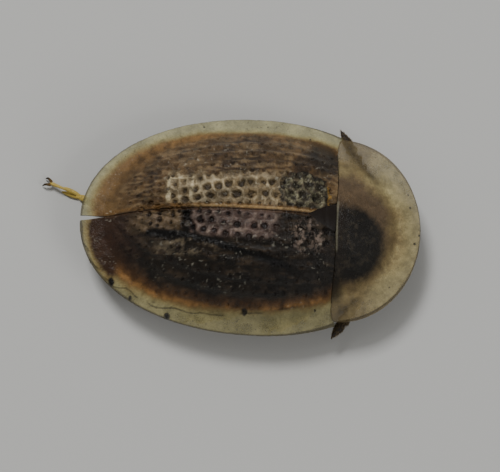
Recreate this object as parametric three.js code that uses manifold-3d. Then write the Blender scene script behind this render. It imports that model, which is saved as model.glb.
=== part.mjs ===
// A tortoise beetle at life size: a still model that stands on legs drawn in under its shields, with the left
// hind foot trailing out behind. Millimetres. +X runs forward, +Y to the beetle's left, +Z up from the floor.
import * as THREE from "three";
import { mergeVertices } from "three/addons/utils/BufferGeometryUtils.js";
import Module from "manifold-3d";

const wasm = await Module();
wasm.setup();

// Driving dimensions of the whole animal.
const bodyLength = 8; // tip of the wing cases to the front edge of the pronotum
const elytraWidth = 5.2;
const pronotumWidth = 4.36;
const pronotumLength = 2.05;
const backHeight = 3; // floor to the crest of the back
const elytraRimHeight = 0.95; // floor to the upper side of the wing cases' edge
const pronotumRimHeight = 1.05;
const bellyHeight = 0.8; // floor to the keel of the underside
const seam = 0.15; // gap between neighbouring pieces

// Plan of the body.
const frontX = bodyLength / 2;
const tailX = -bodyLength / 2;
const baseX = frontX - pronotumLength; // hind edge of the pronotum on the midline
const crestX = 0.15; // highest and widest place of the wing cases
const frontReach = 3.5; // from the crest to where the outline of the wing cases would close in front
const rearReach = crestX - tailX;
const outlinePower = 2.1; // a little squarer than an ellipse
const cornerX = baseX + 0.15; // widest place of the pronotum, at its hind corners

// Shells.
const elytronThickness = 0.48;
const pronotumThickness = 0.42;
const rimThickness = 0.2; // both shells thin out to their edge
const discEdge = 0.82; // share of the way out at which the dome meets the flat margin
const ribCount = 7;
const ribHeight = 0.045;
const fanX = -2.1; // where the rows of the wing cases start to turn round the tail

// Scutellum, the small triangle between the bases of the wing cases.
const scutellumHalfWidth = 0.34;
const scutellumLength = 0.62;

// Legs and feelers.
const femurRadius = 0.25;
const tibiaRadius = 0.22;
const tarsusHalfWidth = 0.24;
const tarsusHalfHeight = 0.17;
const tarsusAxisHeight = 0.13; // below its half height, so that each foot is flat where it meets the floor
const antennaRadius = 0.21;
const antennaSegments = 11;

const shortestEdge = 0.012; // joins leave no edge shorter than this

const sign = { left: 1, right: -1 };
const { clamp, lerp, smoothstep } = THREE.MathUtils;
const vector = (x, y, z) => new THREE.Vector3(x, y, z);

/** The larger of two values, with the corner between them rounded over a width k. */
function softMax(a, b, k) {
  const h = clamp(0.5 + (0.5 * (a - b)) / k, 0, 1);
  return lerp(b, a, h) + k * h * (1 - h);
}

/** Share of the way from the crest out to the edge of the wing cases, at a place of the plan. */
function elytraShare(x, y) {
  const reach = x < crestX ? rearReach : frontReach;
  const along = Math.abs((x - crestX) / reach) ** outlinePower;
  const across = Math.abs((2 * y) / elytraWidth) ** outlinePower;
  return (along + across) ** (1 / outlinePower);
}

/** Half width of the ring of the wing cases that lies a given share of the way out. */
function elytraHalfWidth(x, share = 1) {
  const reach = x < crestX ? rearReach : frontReach;
  const along = Math.abs((x - crestX) / reach) ** outlinePower;
  return (elytraWidth / 2) * Math.max(0, share ** outlinePower - along) ** (1 / outlinePower);
}

/** Height of the back over the wing cases: a dome that runs out into a flatter margin, with a knob at each shoulder. */
function elytraTop(x, y) {
  const share = elytraShare(x, y);
  const dome = 1 - (share / 0.88) ** 2.6;
  const margin = 0.8 * (1 - share);
  const shoulder = 0.07 * Math.exp(-((x - 1.45) ** 2 + (Math.abs(y) - 1.35) ** 2) / 0.09);
  return elytraRimHeight + (backHeight - elytraRimHeight) * softMax(dome, margin, 0.08) + shoulder;
}

/** Hind edge of the pronotum: it bows back on the midline and at the sides, and rounds off at the corners. */
function pronotumRear(y) {
  const share = Math.min(1, Math.abs((2 * y) / pronotumWidth));
  const wave = 0.05 * Math.sin(Math.PI * share) ** 2;
  return cornerX - (cornerX - baseX) * Math.sqrt(1 - share ** 8) + wave * (1 - share);
}

/** Front edge of the pronotum. */
function pronotumFront(y) {
  const share = Math.min(1, Math.abs((2 * y) / pronotumWidth));
  return cornerX + (frontX - cornerX) * Math.sqrt(1 - share ** 2);
}

/** Height of the back over the pronotum: a low cushion with a broad flat margin. */
function pronotumTop(x, y) {
  const share = Math.hypot((x - baseX) / pronotumLength, (2 * y) / pronotumWidth);
  const baseHeight = elytraTop(baseX, 0) - 0.06;
  const cushion = 1 - (share / 0.76) ** 2.2;
  const margin = 0.5 * (1 - share);
  return pronotumRimHeight + (baseHeight - pronotumRimHeight) * softMax(cushion, margin, 0.08);
}

/** The point a given depth under a surface of heights, measured square to it. */
function under(surface, x, y, depth, lift = 0) {
  const step = 1e-3;
  const slopeX = (surface(x + step, y) - surface(x - step, y)) / (2 * step);
  const slopeY = (surface(x, y + step) - surface(x, y - step)) / (2 * step);
  const normal = vector(-slopeX, -slopeY, 1).normalize();
  return vector(x, y, surface(x, y) + lift).addScaledVector(normal, -depth);
}

/** A closed manifold solid from any closed geometry, facing out. */
function solidOf(geometry) {
  const bare = new THREE.BufferGeometry().setAttribute("position", geometry.getAttribute("position"));
  bare.setIndex(geometry.index);
  const merged = mergeVertices(bare, 1e-6);
  const position = merged.getAttribute("position");
  const corner = [vector(), vector(), vector()];
  const faces = [];
  let volume = 0;
  for (let i = 0; i < merged.index.count; i += 3) {
    const ids = [0, 1, 2].map((k) => merged.index.getX(i + k));
    if (new Set(ids).size < 3) continue;
    ids.forEach((id, k) => corner[k].fromBufferAttribute(position, id));
    volume += corner[0].dot(corner[1].clone().cross(corner[2]));
    faces.push(ids);
  }
  if (volume < 0) faces.forEach((ids) => ids.reverse());
  const triVerts = new Uint32Array(faces.flat());
  return new wasm.Manifold(new wasm.Mesh({ numProp: 3, vertProperties: position.array, triVerts }));
}

/** Every edge of a list of faces, as a pair of points, with the faces that meet on it. */
function edgesOf(faces) {
  const edges = new Map();
  faces.forEach((face, i) => {
    for (let k = 0; k < 3; k++) {
      const pair = [face[k], face[(k + 1) % 3]].sort((a, b) => a - b);
      const edge = edges.get(pair.join()) ?? { pair, sides: [] };
      edge.sides.push(i);
      edges.set(pair.join(), edge);
    }
  });
  return edges;
}

/** The points that share an edge with each point. */
function neighboursOf(edges) {
  const near = new Map();
  for (const { pair } of edges.values())
    pair.forEach((point, k) => near.set(point, (near.get(point) ?? new Set()).add(pair[1 - k])));
  return near;
}

/** One pass of a clean-up: edges shorter than a hair are drawn together onto their lower end. */
function drawnTogether(points, faces, hair) {
  const edges = edgesOf(faces);
  const near = neighboursOf(edges);
  const length = ({ pair }) => points[pair[0]].distanceTo(points[pair[1]]);
  const short = [...edges.values()].filter((edge) => length(edge) < hair).sort((a, b) => length(a) - length(b));
  const moved = new Map();
  const taken = new Set();
  for (const { pair } of short) {
    const ring = new Set([...near.get(pair[0]), ...near.get(pair[1])]);
    const shared = [...near.get(pair[0])].filter((point) => near.get(pair[1]).has(point));
    if (shared.length !== 2 || [...ring].some((point) => taken.has(point))) continue;
    const [keep, drop] = points[pair[0]].z <= points[pair[1]].z ? pair : [pair[1], pair[0]];
    moved.set(drop, keep);
    ring.forEach((point) => taken.add(point));
  }
  const kept = faces.map((face) => face.map((point) => moved.get(point) ?? point));
  return [kept.filter((face) => new Set(face).size === 3), moved.size > 0];
}

/** One pass of a clean-up: a flat sliver is turned so that it shares its long side's neighbour. */
function turned(points, faces, hair) {
  const edges = edgesOf(faces);
  const near = neighboursOf(edges);
  const taken = new Set();
  const made = faces.map((face) => face.slice());
  let count = 0;
  faces.forEach((face, i) => {
    const spans = [0, 1, 2].map((k) => points[face[k]].distanceTo(points[face[(k + 1) % 3]]));
    const longest = spans.indexOf(Math.max(...spans));
    const [a, b, c] = [0, 1, 2].map((k) => face[(longest + k) % 3]);
    const side = points[b].clone().sub(points[a]);
    const height = side.clone().cross(points[c].clone().sub(points[a])).length() / side.length();
    if (height > hair || taken.has(i)) return;
    const other = edges.get([a, b].sort((p, q) => p - q).join()).sides.find((k) => k !== i);
    const d = faces[other].find((point) => point !== a && point !== b);
    if (taken.has(other) || near.get(c).has(d)) return;
    made[i] = [a, d, c];
    made[other] = [d, b, c];
    near.get(c).add(d);
    near.get(d).add(c);
    taken.add(i).add(other);
    count += 1;
  });
  return [made, count > 0];
}

/** The points and faces of a solid without the hair-thin leftovers of its joins. */
function tidied(solid) {
  const mesh = solid.getMesh();
  const points = Array.from({ length: mesh.numVert }, (_, i) =>
    vector(...mesh.vertProperties.subarray(i * mesh.numProp, i * mesh.numProp + 3)),
  );
  let faces = Array.from({ length: mesh.numTri }, (_, i) => [...mesh.triVerts.subarray(3 * i, 3 * i + 3)]);
  for (let pass = 0, busy = true; busy && pass < 40; pass++) {
    let drawn = false;
    let flipped = false;
    [faces, drawn] = drawnTogether(points, faces, shortestEdge);
    [faces, flipped] = turned(points, faces, shortestEdge / 8);
    busy = drawn || flipped;
  }
  return [points, faces];
}

/** The solids joined in one, of which only the largest closed body is kept. */
function joined(solids) {
  const bodies = solids.reduce((whole, solid) => whole.add(solid)).decompose();
  return bodies.reduce((best, body) => (body.volume() > best.volume() ? body : best));
}

/** A solid between an upper and a lower sheet with the same grid, closed by a strip round its edge. */
function sheetSolid(columns, rows, upper, lower) {
  const positions = [];
  for (const sheet of [upper, lower])
    for (let i = 0; i <= columns; i++)
      for (let j = 0; j <= rows; j++) positions.push(...sheet(i / columns, j / rows).toArray());
  const id = (side, i, j) => (side * (columns + 1) + i) * (rows + 1) + j;
  const index = [];
  const quad = (a, b, c, d) => index.push(a, b, c, a, c, d);
  for (let i = 0; i < columns; i++)
    for (let j = 0; j < rows; j++) {
      quad(id(0, i, j), id(0, i + 1, j), id(0, i + 1, j + 1), id(0, i, j + 1));
      index.push(id(1, i, j), id(1, i + 1, j + 1), id(1, i + 1, j));
      index.push(id(1, i, j), id(1, i, j + 1), id(1, i + 1, j + 1));
    }
  for (let i = 0; i < columns; i++) {
    quad(id(0, i, 0), id(1, i, 0), id(1, i + 1, 0), id(0, i + 1, 0));
    quad(id(0, i + 1, rows), id(1, i + 1, rows), id(1, i, rows), id(0, i, rows));
  }
  for (let j = 0; j < rows; j++) {
    quad(id(0, columns, j), id(1, columns, j), id(1, columns, j + 1), id(0, columns, j + 1));
    quad(id(0, 0, j + 1), id(1, 0, j + 1), id(1, 0, j), id(0, 0, j));
  }
  const geometry = new THREE.BufferGeometry();
  geometry.setAttribute("position", new THREE.Float32BufferAttribute(positions, 3));
  return solidOf(geometry.setIndex(index));
}

/** A turned limb between two points, through the given radii at even steps, flattened by its height share. */
function limb(from, to, radii, heightShare = 1, sides = 7) {
  const length = from.distanceTo(to);
  const profile = radii.map((radius, i) => new THREE.Vector2(radius, (length * i) / (radii.length - 1)));
  profile.unshift(new THREE.Vector2(0, 0));
  profile.push(new THREE.Vector2(0, length));
  const along = to.clone().sub(from).divideScalar(length);
  const across = along.clone().cross(vector(0, 0, 1)).normalize();
  const frame = new THREE.Matrix4().makeBasis(across, along, across.clone().cross(along));
  const geometry = new THREE.LatheGeometry(profile, sides);
  geometry.rotateY(Math.PI / sides).scale(1, 1, heightShare).applyMatrix4(frame.setPosition(from));
  return solidOf(geometry);
}

/** An ellipsoid, tipped forward by a pitch in radians. */
function ellipsoid(centre, radii, pitch = 0, widthSegments = 14, heightSegments = 10) {
  const geometry = new THREE.SphereGeometry(1, widthSegments, heightSegments).rotateX(Math.PI / 2);
  return solidOf(geometry.scale(...radii.toArray()).rotateY(pitch).translate(...centre.toArray()));
}

/** A straight-sided block between two opposite corners. */
function block(low, high) {
  const size = high.clone().sub(low);
  const middle = low.clone().add(high).multiplyScalar(0.5);
  return solidOf(new THREE.BoxGeometry(...size.toArray()).translate(...middle.toArray()));
}

// Shells of the back.

/** Thickness of a shell, thinning out to its edge. */
function shellDepth(thickness, share) {
  return lerp(thickness, rimThickness, smoothstep(share, 0.78, 1));
}

/** Place of the plan on a wing case, t of the way round from shoulder to tail and b of the way out from the suture. */
function elytronPlace(t, b) {
  const start = Math.acos(((baseX - crestX) / frontReach) ** (outlinePower / 2));
  const angle = lerp(start, Math.PI, t);
  const cosine = Math.cos(angle);
  const reach = cosine < 0 ? rearReach : frontReach;
  const edgeX = crestX + Math.sign(cosine) * reach * Math.abs(cosine) ** (2 / outlinePower);
  const edgeY = (elytraWidth / 2) * Math.sin(angle) ** (2 / outlinePower);
  const x = lerp(lerp(baseX - seam, fanX, t), edgeX, b);
  const y = edgeY * b;
  const notch = (scutellumLength + 2.4 * seam) * Math.max(0, 1 - y / (scutellumHalfWidth + 1.5 * seam));
  const straightBase = lerp(baseX - seam, baseX, b);
  const base = pronotumRear(y) - seam - notch;
  return [x + (base - straightBase) * (1 - t) ** 5, seam / 2 + y * (1 - seam / elytraWidth)];
}

/** Rows run evenly over the disc, two to a rib, and then in wider steps over the margin. */
function elytronRow(share) {
  const rows = 2 * ribCount + 3;
  const row = share * rows;
  const discRows = 2 * ribCount;
  return row < discRows ? (discEdge * row) / discRows : lerp(discEdge, 1, (row - discRows) / 3);
}

/** A wing case, grooved lengthwise between low ribs. */
function elytron(side) {
  const at = (depthShare) => (t, v) => {
    const b = elytronRow(v);
    const [x, y] = elytronPlace(t, b);
    const share = elytraShare(x, y);
    const rib = b < discEdge - 0.01 ? -Math.cos((2 * Math.PI * b * ribCount) / discEdge) : 0;
    const fade = smoothstep(t, 0, 0.1) * (1 - smoothstep(t, 0.85, 1));
    const lift = depthShare ? 0 : ribHeight * rib * fade;
    const point = under(elytraTop, x, y, depthShare * shellDepth(elytronThickness, share), lift);
    point.y = Math.max(seam / 2, point.y);
    return point.setY(point.y * sign[side]);
  };
  return sheetSolid(22, 2 * ribCount + 3, at(0), at(1));
}

/** The pronotum, or that shape swelled by a gap so that it can cut its neighbours clear. */
function pronotum(swell = 0) {
  const widest = Math.asin(0.993);
  const at = (upper) => (u, v) => {
    const y = (pronotumWidth / 2) * Math.sin(lerp(-widest, widest, v));
    const x = lerp(pronotumRear(y) - swell, pronotumFront(y) + swell, u);
    const share = Math.hypot((x - baseX) / pronotumLength, (2 * y) / pronotumWidth);
    const depth = upper ? -swell : shellDepth(pronotumThickness, share) + swell;
    return under(pronotumTop, x, y, depth);
  };
  return sheetSolid(10, 20, at(true), at(false));
}

/** The scutellum: a small wedge, widest in front. */
function scutellum() {
  const at = (upper) => (u, v) => {
    const x = baseX - 0.6 * seam - scutellumLength * u;
    const y = scutellumHalfWidth * (1 - 0.85 * u) * lerp(-1, 1, v);
    return under(elytraTop, x, y, upper ? 0 : elytronThickness);
  };
  return sheetSolid(4, 4, at(true), at(false));
}

// Trunk under the shells.

/** Height of the underside: a shallow keel. */
function belly(x, y) {
  return bellyHeight + 0.1 * (y / 1.6) ** 2;
}

/** The part of the trunk between two places, under a cover of given depth, with its underside shaped by relief. */
function trunk({ from, to, surface, depth, halfWidth, columns, rows, relief = () => 0, swell = 0, ease = (u) => u }) {
  const top = (u, v) => {
    const x = lerp(from + swell, to - swell, ease(u));
    const y = (halfWidth(x) + swell) * Math.sin(lerp(-Math.PI / 2, Math.PI / 2, v));
    const drop = surface(x, y) - under(surface, x, y, 1).z;
    return vector(x, y, surface(x, y) - (depth - swell) / drop);
  };
  const bottom = (u, v) => {
    const point = top(u, v);
    return point.setZ(Math.min(point.z - 0.05, belly(point.x, point.y) - relief(point.x, point.y) - swell));
  };
  return sheetSolid(columns, rows, top, bottom);
}

const elytraCover = elytronThickness + 1.3 * seam; // a little slack, because depths are taken straight down
const trunkEdge = 0.66; // how far out, as a share, the trunk reaches under the wing cases
const waistX = -0.45; // between the thorax and the abdomen

/** The middle and hind parts of the thorax, with a groove along the breastplate. */
function thorax(swell = 0) {
  return trunk({
    from: baseX - 0.1,
    to: waistX + seam / 2,
    surface: elytraTop,
    depth: elytraCover,
    halfWidth: (x) => elytraHalfWidth(x, trunkEdge),
    columns: 10,
    rows: 14,
    relief: (x, y) => (swell ? 0 : -0.05 * Math.exp(-((y / 0.12) ** 2))),
    swell,
  });
}

/** The abdomen, with its belly plates stepped one behind another. */
function abdomen(swell = 0) {
  const plates = 5;
  const tipX = crestX - 0.7 * rearReach;
  const plateStep = (x) => {
    const place = (plates * (waistX - x)) / (waistX - tipX - 0.5);
    return 0.05 * (1 - (place - Math.floor(place)));
  };
  return trunk({
    from: waistX - seam / 2,
    to: tipX,
    surface: elytraTop,
    depth: elytraCover,
    halfWidth: (x) => elytraHalfWidth(x, trunkEdge),
    columns: 18,
    rows: 14,
    relief: (x) => (swell ? 0.05 : plateStep(x)),
    swell,
    ease: (u) => Math.sin((Math.PI / 2) * u) ** 0.85,
  });
}

/** The front part of the thorax, that carries the pronotum and the front legs. */
function prothorax(swell = 0) {
  return trunk({
    from: baseX + 0.6,
    to: baseX + 0.05,
    surface: pronotumTop,
    depth: pronotumThickness + 1.5 * seam,
    halfWidth: (x) => 1.05 - 0.35 * ((x - baseX) / 0.6) ** 2,
    columns: 4,
    rows: 12,
    swell,
  });
}

// Head.

const headCentre = vector(2.98, 0, 0.94);
const headRadii = vector(0.5, 0.52, 0.46);
const headPitch = 0.35;
const eyeInset = 0.38; // half width of the head between its eyes
const eyeCentre = vector(2.98, 0, 0.96);

/** The head capsule alone, swelled by a gap. */
function headCapsule(swell = 0) {
  const radii = headRadii.clone().addScalar(swell);
  const flank = eyeInset + swell;
  const whole = ellipsoid(headCentre, radii, headPitch, 18, 12);
  return whole.intersect(block(vector(0, -flank, 0), vector(bodyLength, flank, backHeight)));
}

/** The head with its clypeus, jaws and palps, which point down and back. */
function head() {
  const parts = [headCapsule()];
  parts.push(ellipsoid(vector(2.98, 0, 0.56), vector(0.24, 0.28, 0.15), 0.2, 10, 6));
  for (const y of [-1, 1]) {
    parts.push(limb(vector(2.96, 0.16 * y, 0.5), vector(2.8, 0.08 * y, 0.34), [0.11, 0.1, 0.04], 1, 6));
    const palpBend = vector(2.86, 0.3 * y, 0.42);
    parts.push(limb(vector(2.98, 0.2 * y, 0.54), palpBend, [0.09, 0.11, 0.08], 1, 6));
    parts.push(limb(palpBend, vector(2.7, 0.26 * y, 0.34), [0.09, 0.1, 0.04], 1, 6));
  }
  return joined(parts).subtract(pronotum(seam)).subtract(prothorax(seam));
}

/** A compound eye: an oval dome on the side of the head. */
function eye(side) {
  const whole = ellipsoid(vector(0, 0, 0), vector(0.24, 0.18, 0.28), 0, 12, 8);
  const outward = sign[side];
  const near = vector(-1, Math.min(0, outward), -1);
  const kept = whole.intersect(block(near, vector(1, Math.max(0, outward), 1)));
  const place = eyeCentre.clone().setY(outward * (eyeInset + seam));
  return kept.translate(place.toArray()).subtract(pronotum(seam));
}

/** A feeler that runs out under the pronotum and ends beyond its hind corner, thickening into a club. */
function antenna(side) {
  const y = sign[side];
  const route = new THREE.CatmullRomCurve3([
    vector(3.36, 0.17 * y, 0.6),
    vector(3.22, 0.5 * y, 0.38),
    vector(2.9, 1.0 * y, 0.34),
    vector(2.46, 1.8 * y, 0.46),
    vector(2.08, 2.5 * y, 0.6),
  ]);
  const beads = [];
  for (let i = 0; i < antennaSegments; i++) {
    const share = i / (antennaSegments - 1);
    const from = route.getPointAt(Math.max(0, (i - 0.12) / antennaSegments));
    const to = route.getPointAt(Math.min(1, (i + 1.12) / antennaSegments));
    const full = antennaRadius * lerp(0.9, 1, smoothstep(share, 0.4, 0.7));
    const radii = i < antennaSegments - 1 ? [0.72, 0.96, 1, 0.78] : [0.75, 0.9, 0.62, 0.12];
    beads.push(limb(from, to, radii.map((r) => r * full), 1, 7));
  }
  return joined(beads).subtract(headCapsule(seam)).subtract(pronotum(seam));
}

// Legs.

/** Joints of each leg on its own side: hip, knee, ankle and the tip of the claws. */
const legPlan = {
  front: { hip: [2.12, 0.42], knee: [1.82, 1.42], ankle: [1.3, 1.98], toe: [0.5, 2.3] },
  middle: { hip: [1.2, 0.6], knee: [0.36, 1.66], ankle: [-0.5, 2.02], toe: [-1.46, 2.12] },
  hind: { hip: [-0.25, 0.66], knee: [-1.66, 1.44], ankle: [-2.76, 1.1], toe: [-3.72, 0.72] },
  trailing: { hip: [-0.25, 0.66], knee: [-2.02, 1.2], ankle: [-3.42, 0.42], toe: [-4.94, 1.02] },
};
const hipHeight = 0.4;
const kneeHeight = 0.42;
const ankleHeight = 0.3;

/** A whole leg: hip, thigh, shin, three lobed foot joints, and a last joint with two claws. */
function leg(joints, side) {
  const y = sign[side];
  const at = ([px, py], z) => vector(px, py * y, z);
  const hip = at(joints.hip, hipHeight);
  const knee = at(joints.knee, kneeHeight);
  const ankle = at(joints.ankle, ankleHeight);
  const heel = at(joints.ankle, tarsusAxisHeight);
  const toe = at(joints.toe, tarsusAxisHeight);
  const parts = [
    ellipsoid(hip.clone().setZ(0.52), vector(0.3, 0.26, 0.3), 0, 10, 8),
    limb(hip, knee, [0.6, 0.95, 1, 0.85, 0.6].map((r) => r * femurRadius), 0.95),
    limb(knee, ankle, [0.8, 0.86, 0.96, 1.05, 0.8].map((r) => r * tibiaRadius), 0.95),
  ];
  const lobes = 3;
  for (let i = 0; i < lobes; i++) {
    const from = heel.clone().lerp(toe, 0.24 * i - 0.05);
    const to = heel.clone().lerp(toe, 0.24 * i + 0.27);
    const width = tarsusHalfWidth * (i === lobes - 1 ? 1.1 : 0.92);
    parts.push(limb(from, to, [0.5, 0.85, 1, 0.75].map((r) => r * width), tarsusHalfHeight / tarsusHalfWidth));
  }
  const clawRoot = heel.clone().lerp(toe, 0.9);
  parts.push(limb(heel.clone().lerp(toe, 0.6), clawRoot, [0.12, 0.13, 0.15, 0.12], 0.9, 6));
  const out = toe.clone().sub(heel).normalize();
  const across = vector(-out.y, out.x, 0);
  for (const k of [-1, 1]) {
    const root = clawRoot.clone().addScaledVector(out, -0.06).addScaledVector(across, 0.05 * k);
    const tip = toe.clone().addScaledVector(across, 0.14 * k).setZ(0.05);
    parts.push(limb(root, tip, [0.08, 0.06, 0.02], 1, 5));
  }
  const floor = block(vector(-bodyLength, -bodyLength, -1), vector(bodyLength, bodyLength, 0));
  const trunkParts = [thorax(seam), abdomen(seam), prothorax(seam)];
  return trunkParts.reduce((kept, part) => kept.subtract(part), joined(parts).subtract(floor));
}

// Finishes.

const finishes = {
  elytronLeft: { color: 0x4f3e2b, roughness: 0.42 },
  elytronRight: { color: 0x1c1613, roughness: 0.38 },
  pronotum: { color: 0x8a7d5a, roughness: 0.4 },
  dark: { color: 0x16110e, roughness: 0.45 },
  trunk: { color: 0x2a1d13, roughness: 0.5 },
  eye: { color: 0x0b0a0a, roughness: 0.25 },
  leg: { color: 0xa8923f, roughness: 0.45 },
  antenna: { color: 0x3a3022, roughness: 0.55 },
};
const materials = Object.fromEntries(
  Object.entries(finishes).map(([name, look]) => [name, new THREE.MeshStandardMaterial({ metalness: 0, ...look })]),
);

/** A named mesh of the largest closed body of a solid. */
function piece(name, solid, material) {
  const [points, faces] = tidied(joined([solid]));
  const geometry = new THREE.BufferGeometry().setFromPoints(points).setIndex(faces.flat());
  geometry.computeVertexNormals();
  const made = new THREE.Mesh(geometry, material);
  made.name = name;
  return made;
}

// Assembly.

const beetle = new THREE.Group();

const shells = new THREE.Group();
shells.add(piece("elytron_left", elytron("left"), materials.elytronLeft));
shells.add(piece("elytron_right", elytron("right"), materials.elytronRight));
shells.add(piece("pronotum", pronotum(), materials.pronotum));
shells.add(piece("scutellum", scutellum(), materials.dark));

const body = new THREE.Group();
body.add(piece("prothorax", prothorax(), materials.trunk));
body.add(piece("thorax", thorax(), materials.trunk));
body.add(piece("abdomen", abdomen(), materials.trunk));
body.add(piece("head", head(), materials.trunk));

const limbs = new THREE.Group();
for (const side of ["left", "right"]) {
  body.add(piece(`eye_${side}`, eye(side), materials.eye));
  limbs.add(piece(`antenna_${side}`, antenna(side), materials.antenna));
  limbs.add(piece(`leg_front_${side}`, leg(legPlan.front, side), materials.leg));
  limbs.add(piece(`leg_middle_${side}`, leg(legPlan.middle, side), materials.leg));
  const hindPlan = side === "left" ? legPlan.trailing : legPlan.hind;
  limbs.add(piece(`leg_hind_${side}`, leg(hindPlan, side), materials.leg));
}

beetle.add(shells, body, limbs);

// The origin is the middle of the whole model's footprint, on the floor.
const box = new THREE.Box3().setFromObject(beetle, true);
const middle = box.getCenter(vector());
beetle.position.set(-middle.x, -middle.y, -box.min.z);

export default beetle;
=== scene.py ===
"""A life-size tortoise beetle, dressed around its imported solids.

Sizes are in millimetres in the beetle's own plan, where x runs forward along the midline from a zero
half way between the tip of the wing cases and the front edge of the pronotum, y runs to the beetle's
left and z rises from the floor. Place turns them into the metres of the scene.
"""

from __future__ import annotations

import logging
import math
from dataclasses import dataclass, field
from enum import Enum
from typing import Any, Callable, Sequence

import bpy
import numpy as np
from mathutils import Matrix, Vector

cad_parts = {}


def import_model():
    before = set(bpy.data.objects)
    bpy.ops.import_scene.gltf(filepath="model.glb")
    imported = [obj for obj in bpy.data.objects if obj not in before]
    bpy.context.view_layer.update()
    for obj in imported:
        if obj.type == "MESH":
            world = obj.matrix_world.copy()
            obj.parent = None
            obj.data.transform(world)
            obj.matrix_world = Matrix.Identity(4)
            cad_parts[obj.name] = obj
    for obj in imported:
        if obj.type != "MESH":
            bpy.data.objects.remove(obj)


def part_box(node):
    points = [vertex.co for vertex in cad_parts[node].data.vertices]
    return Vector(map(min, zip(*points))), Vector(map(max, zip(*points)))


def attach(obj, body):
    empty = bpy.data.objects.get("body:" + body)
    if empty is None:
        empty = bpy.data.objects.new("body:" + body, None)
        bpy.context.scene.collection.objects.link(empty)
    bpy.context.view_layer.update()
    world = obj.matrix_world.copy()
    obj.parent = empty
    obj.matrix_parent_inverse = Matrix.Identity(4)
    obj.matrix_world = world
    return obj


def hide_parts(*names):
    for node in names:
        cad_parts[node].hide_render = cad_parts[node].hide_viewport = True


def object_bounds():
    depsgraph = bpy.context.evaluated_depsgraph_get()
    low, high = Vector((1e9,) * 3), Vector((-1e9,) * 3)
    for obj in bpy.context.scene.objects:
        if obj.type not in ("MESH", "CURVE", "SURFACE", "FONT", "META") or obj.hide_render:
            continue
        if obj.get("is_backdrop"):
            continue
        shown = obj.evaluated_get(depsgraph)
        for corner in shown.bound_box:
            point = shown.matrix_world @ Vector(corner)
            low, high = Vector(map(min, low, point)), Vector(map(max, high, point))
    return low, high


LOG = logging.getLogger("tortoise_beetle")
Array = np.ndarray
MILLI = 1e-3
UP = np.array([0.0, 0.0, 1.0])
TILES = 8  # tiles along each side of the unwrapped square
BARE_BELOW, HAIRY_ABOVE = 0.08, 0.13  # heights over the floor between which the hairs fade in
CREASE = math.radians(50.0)  # edges bent more than this stay crisp


# Small maths


def smooth(low: float, high: float, value: Array) -> Array:
    """Eases from 0 below the low value to 1 above the high one.

    Args:
        low: Where the ramp leaves 0.
        high: Where it reaches 1.
        value: The values to ease.

    Returns:
        The eased values.
    """
    share = np.clip((value - low) / (high - low), 0.0, 1.0)
    return share * share * (3.0 - 2.0 * share)


def soft_max(first: Array, second: Array, width: float) -> Array:
    """Takes the larger of two values, with the corner between them rounded.

    Args:
        first: The first values.
        second: The second values.
        width: How wide the rounded corner is.

    Returns:
        The rounded maximum.
    """
    share = np.clip(0.5 + 0.5 * (first - second) / width, 0.0, 1.0)
    return second + (first - second) * share + width * share * (1.0 - share)


def mottle(x: Array, y: Array, size: float, seed: int) -> Array:
    """Draws soft blotches over a plane, between 0 and 1.

    Args:
        x: Places along the first axis.
        y: Places along the second axis.
        size: How wide a blotch is.
        seed: Picks the pattern.

    Returns:
        The blotches' strength at each place.
    """
    rng = np.random.default_rng(seed)
    lattice = rng.random((64, 64))
    column, row = np.asarray(x) / size, np.asarray(y) / size
    i, j = np.floor(column).astype(int), np.floor(row).astype(int)
    u, v = column - i, row - j
    u, v = u * u * (3 - 2 * u), v * v * (3 - 2 * v)
    near = lattice[i % 64, j % 64] * (1 - u) + lattice[(i + 1) % 64, j % 64] * u
    far = lattice[i % 64, (j + 1) % 64] * (1 - u) + lattice[(i + 1) % 64, (j + 1) % 64] * u
    return near * (1 - v) + far * v


def grit(x: Array, y: Array, size: float, seed: int) -> Array:
    """Sums blotches of four sizes into a worn, grainy pattern between 0 and 1.

    Args:
        x: Places along the first axis.
        y: Places along the second axis.
        size: How wide the largest blotch is.
        seed: Picks the pattern.

    Returns:
        The pattern's strength at each place.
    """
    total = sum(mottle(x, y, size / 2.1**k, seed + 7 * k) * 0.72**k for k in range(4))
    return smooth(0.22, 0.78, total / sum(0.72**k for k in range(4)))


def from_line(x: Array, y: Array, line: Sequence[tuple[float, float]]) -> Array:
    """Measures how far places lie from a bent line.

    Args:
        x: Places along the first axis.
        y: Places along the second axis.
        line: The line's corners.

    Returns:
        The distance of each place from the line.
    """
    best = np.full(np.shape(x), 1e9)
    for (ax, ay), (bx, by) in zip(line, line[1:]):
        dx, dy = bx - ax, by - ay
        share = np.clip(((x - ax) * dx + (y - ay) * dy) / (dx * dx + dy * dy), 0.0, 1.0)
        best = np.minimum(best, np.hypot(x - ax - share * dx, y - ay - share * dy))
    return best


def patch(x: Array, y: Array, centre: tuple[float, float], radii: tuple[float, float], soft: float) -> Array:
    """Fills a soft oval.

    Args:
        x: Places along the first axis.
        y: Places along the second axis.
        centre: The oval's middle.
        radii: Its half sizes.
        soft: The share of its size over which it fades.

    Returns:
        1 inside the oval, falling to 0 outside.
    """
    away = np.hypot((x - centre[0]) / radii[0], (y - centre[1]) / radii[1])
    return 1.0 - smooth(1.0 - soft, 1.0 + soft, away)


def tone(red: int, green: int, blue: int) -> Array:
    """Turns a display colour into linear light.

    Args:
        red: Red, from 0 to 255.
        green: Green, from 0 to 255.
        blue: Blue, from 0 to 255.

    Returns:
        The colour, each share from 0 to 1.
    """
    shown = np.array([red, green, blue], dtype=float) / 255.0
    return np.where(shown <= 0.04045, shown / 12.92, ((shown + 0.055) / 1.055) ** 2.4)


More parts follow.
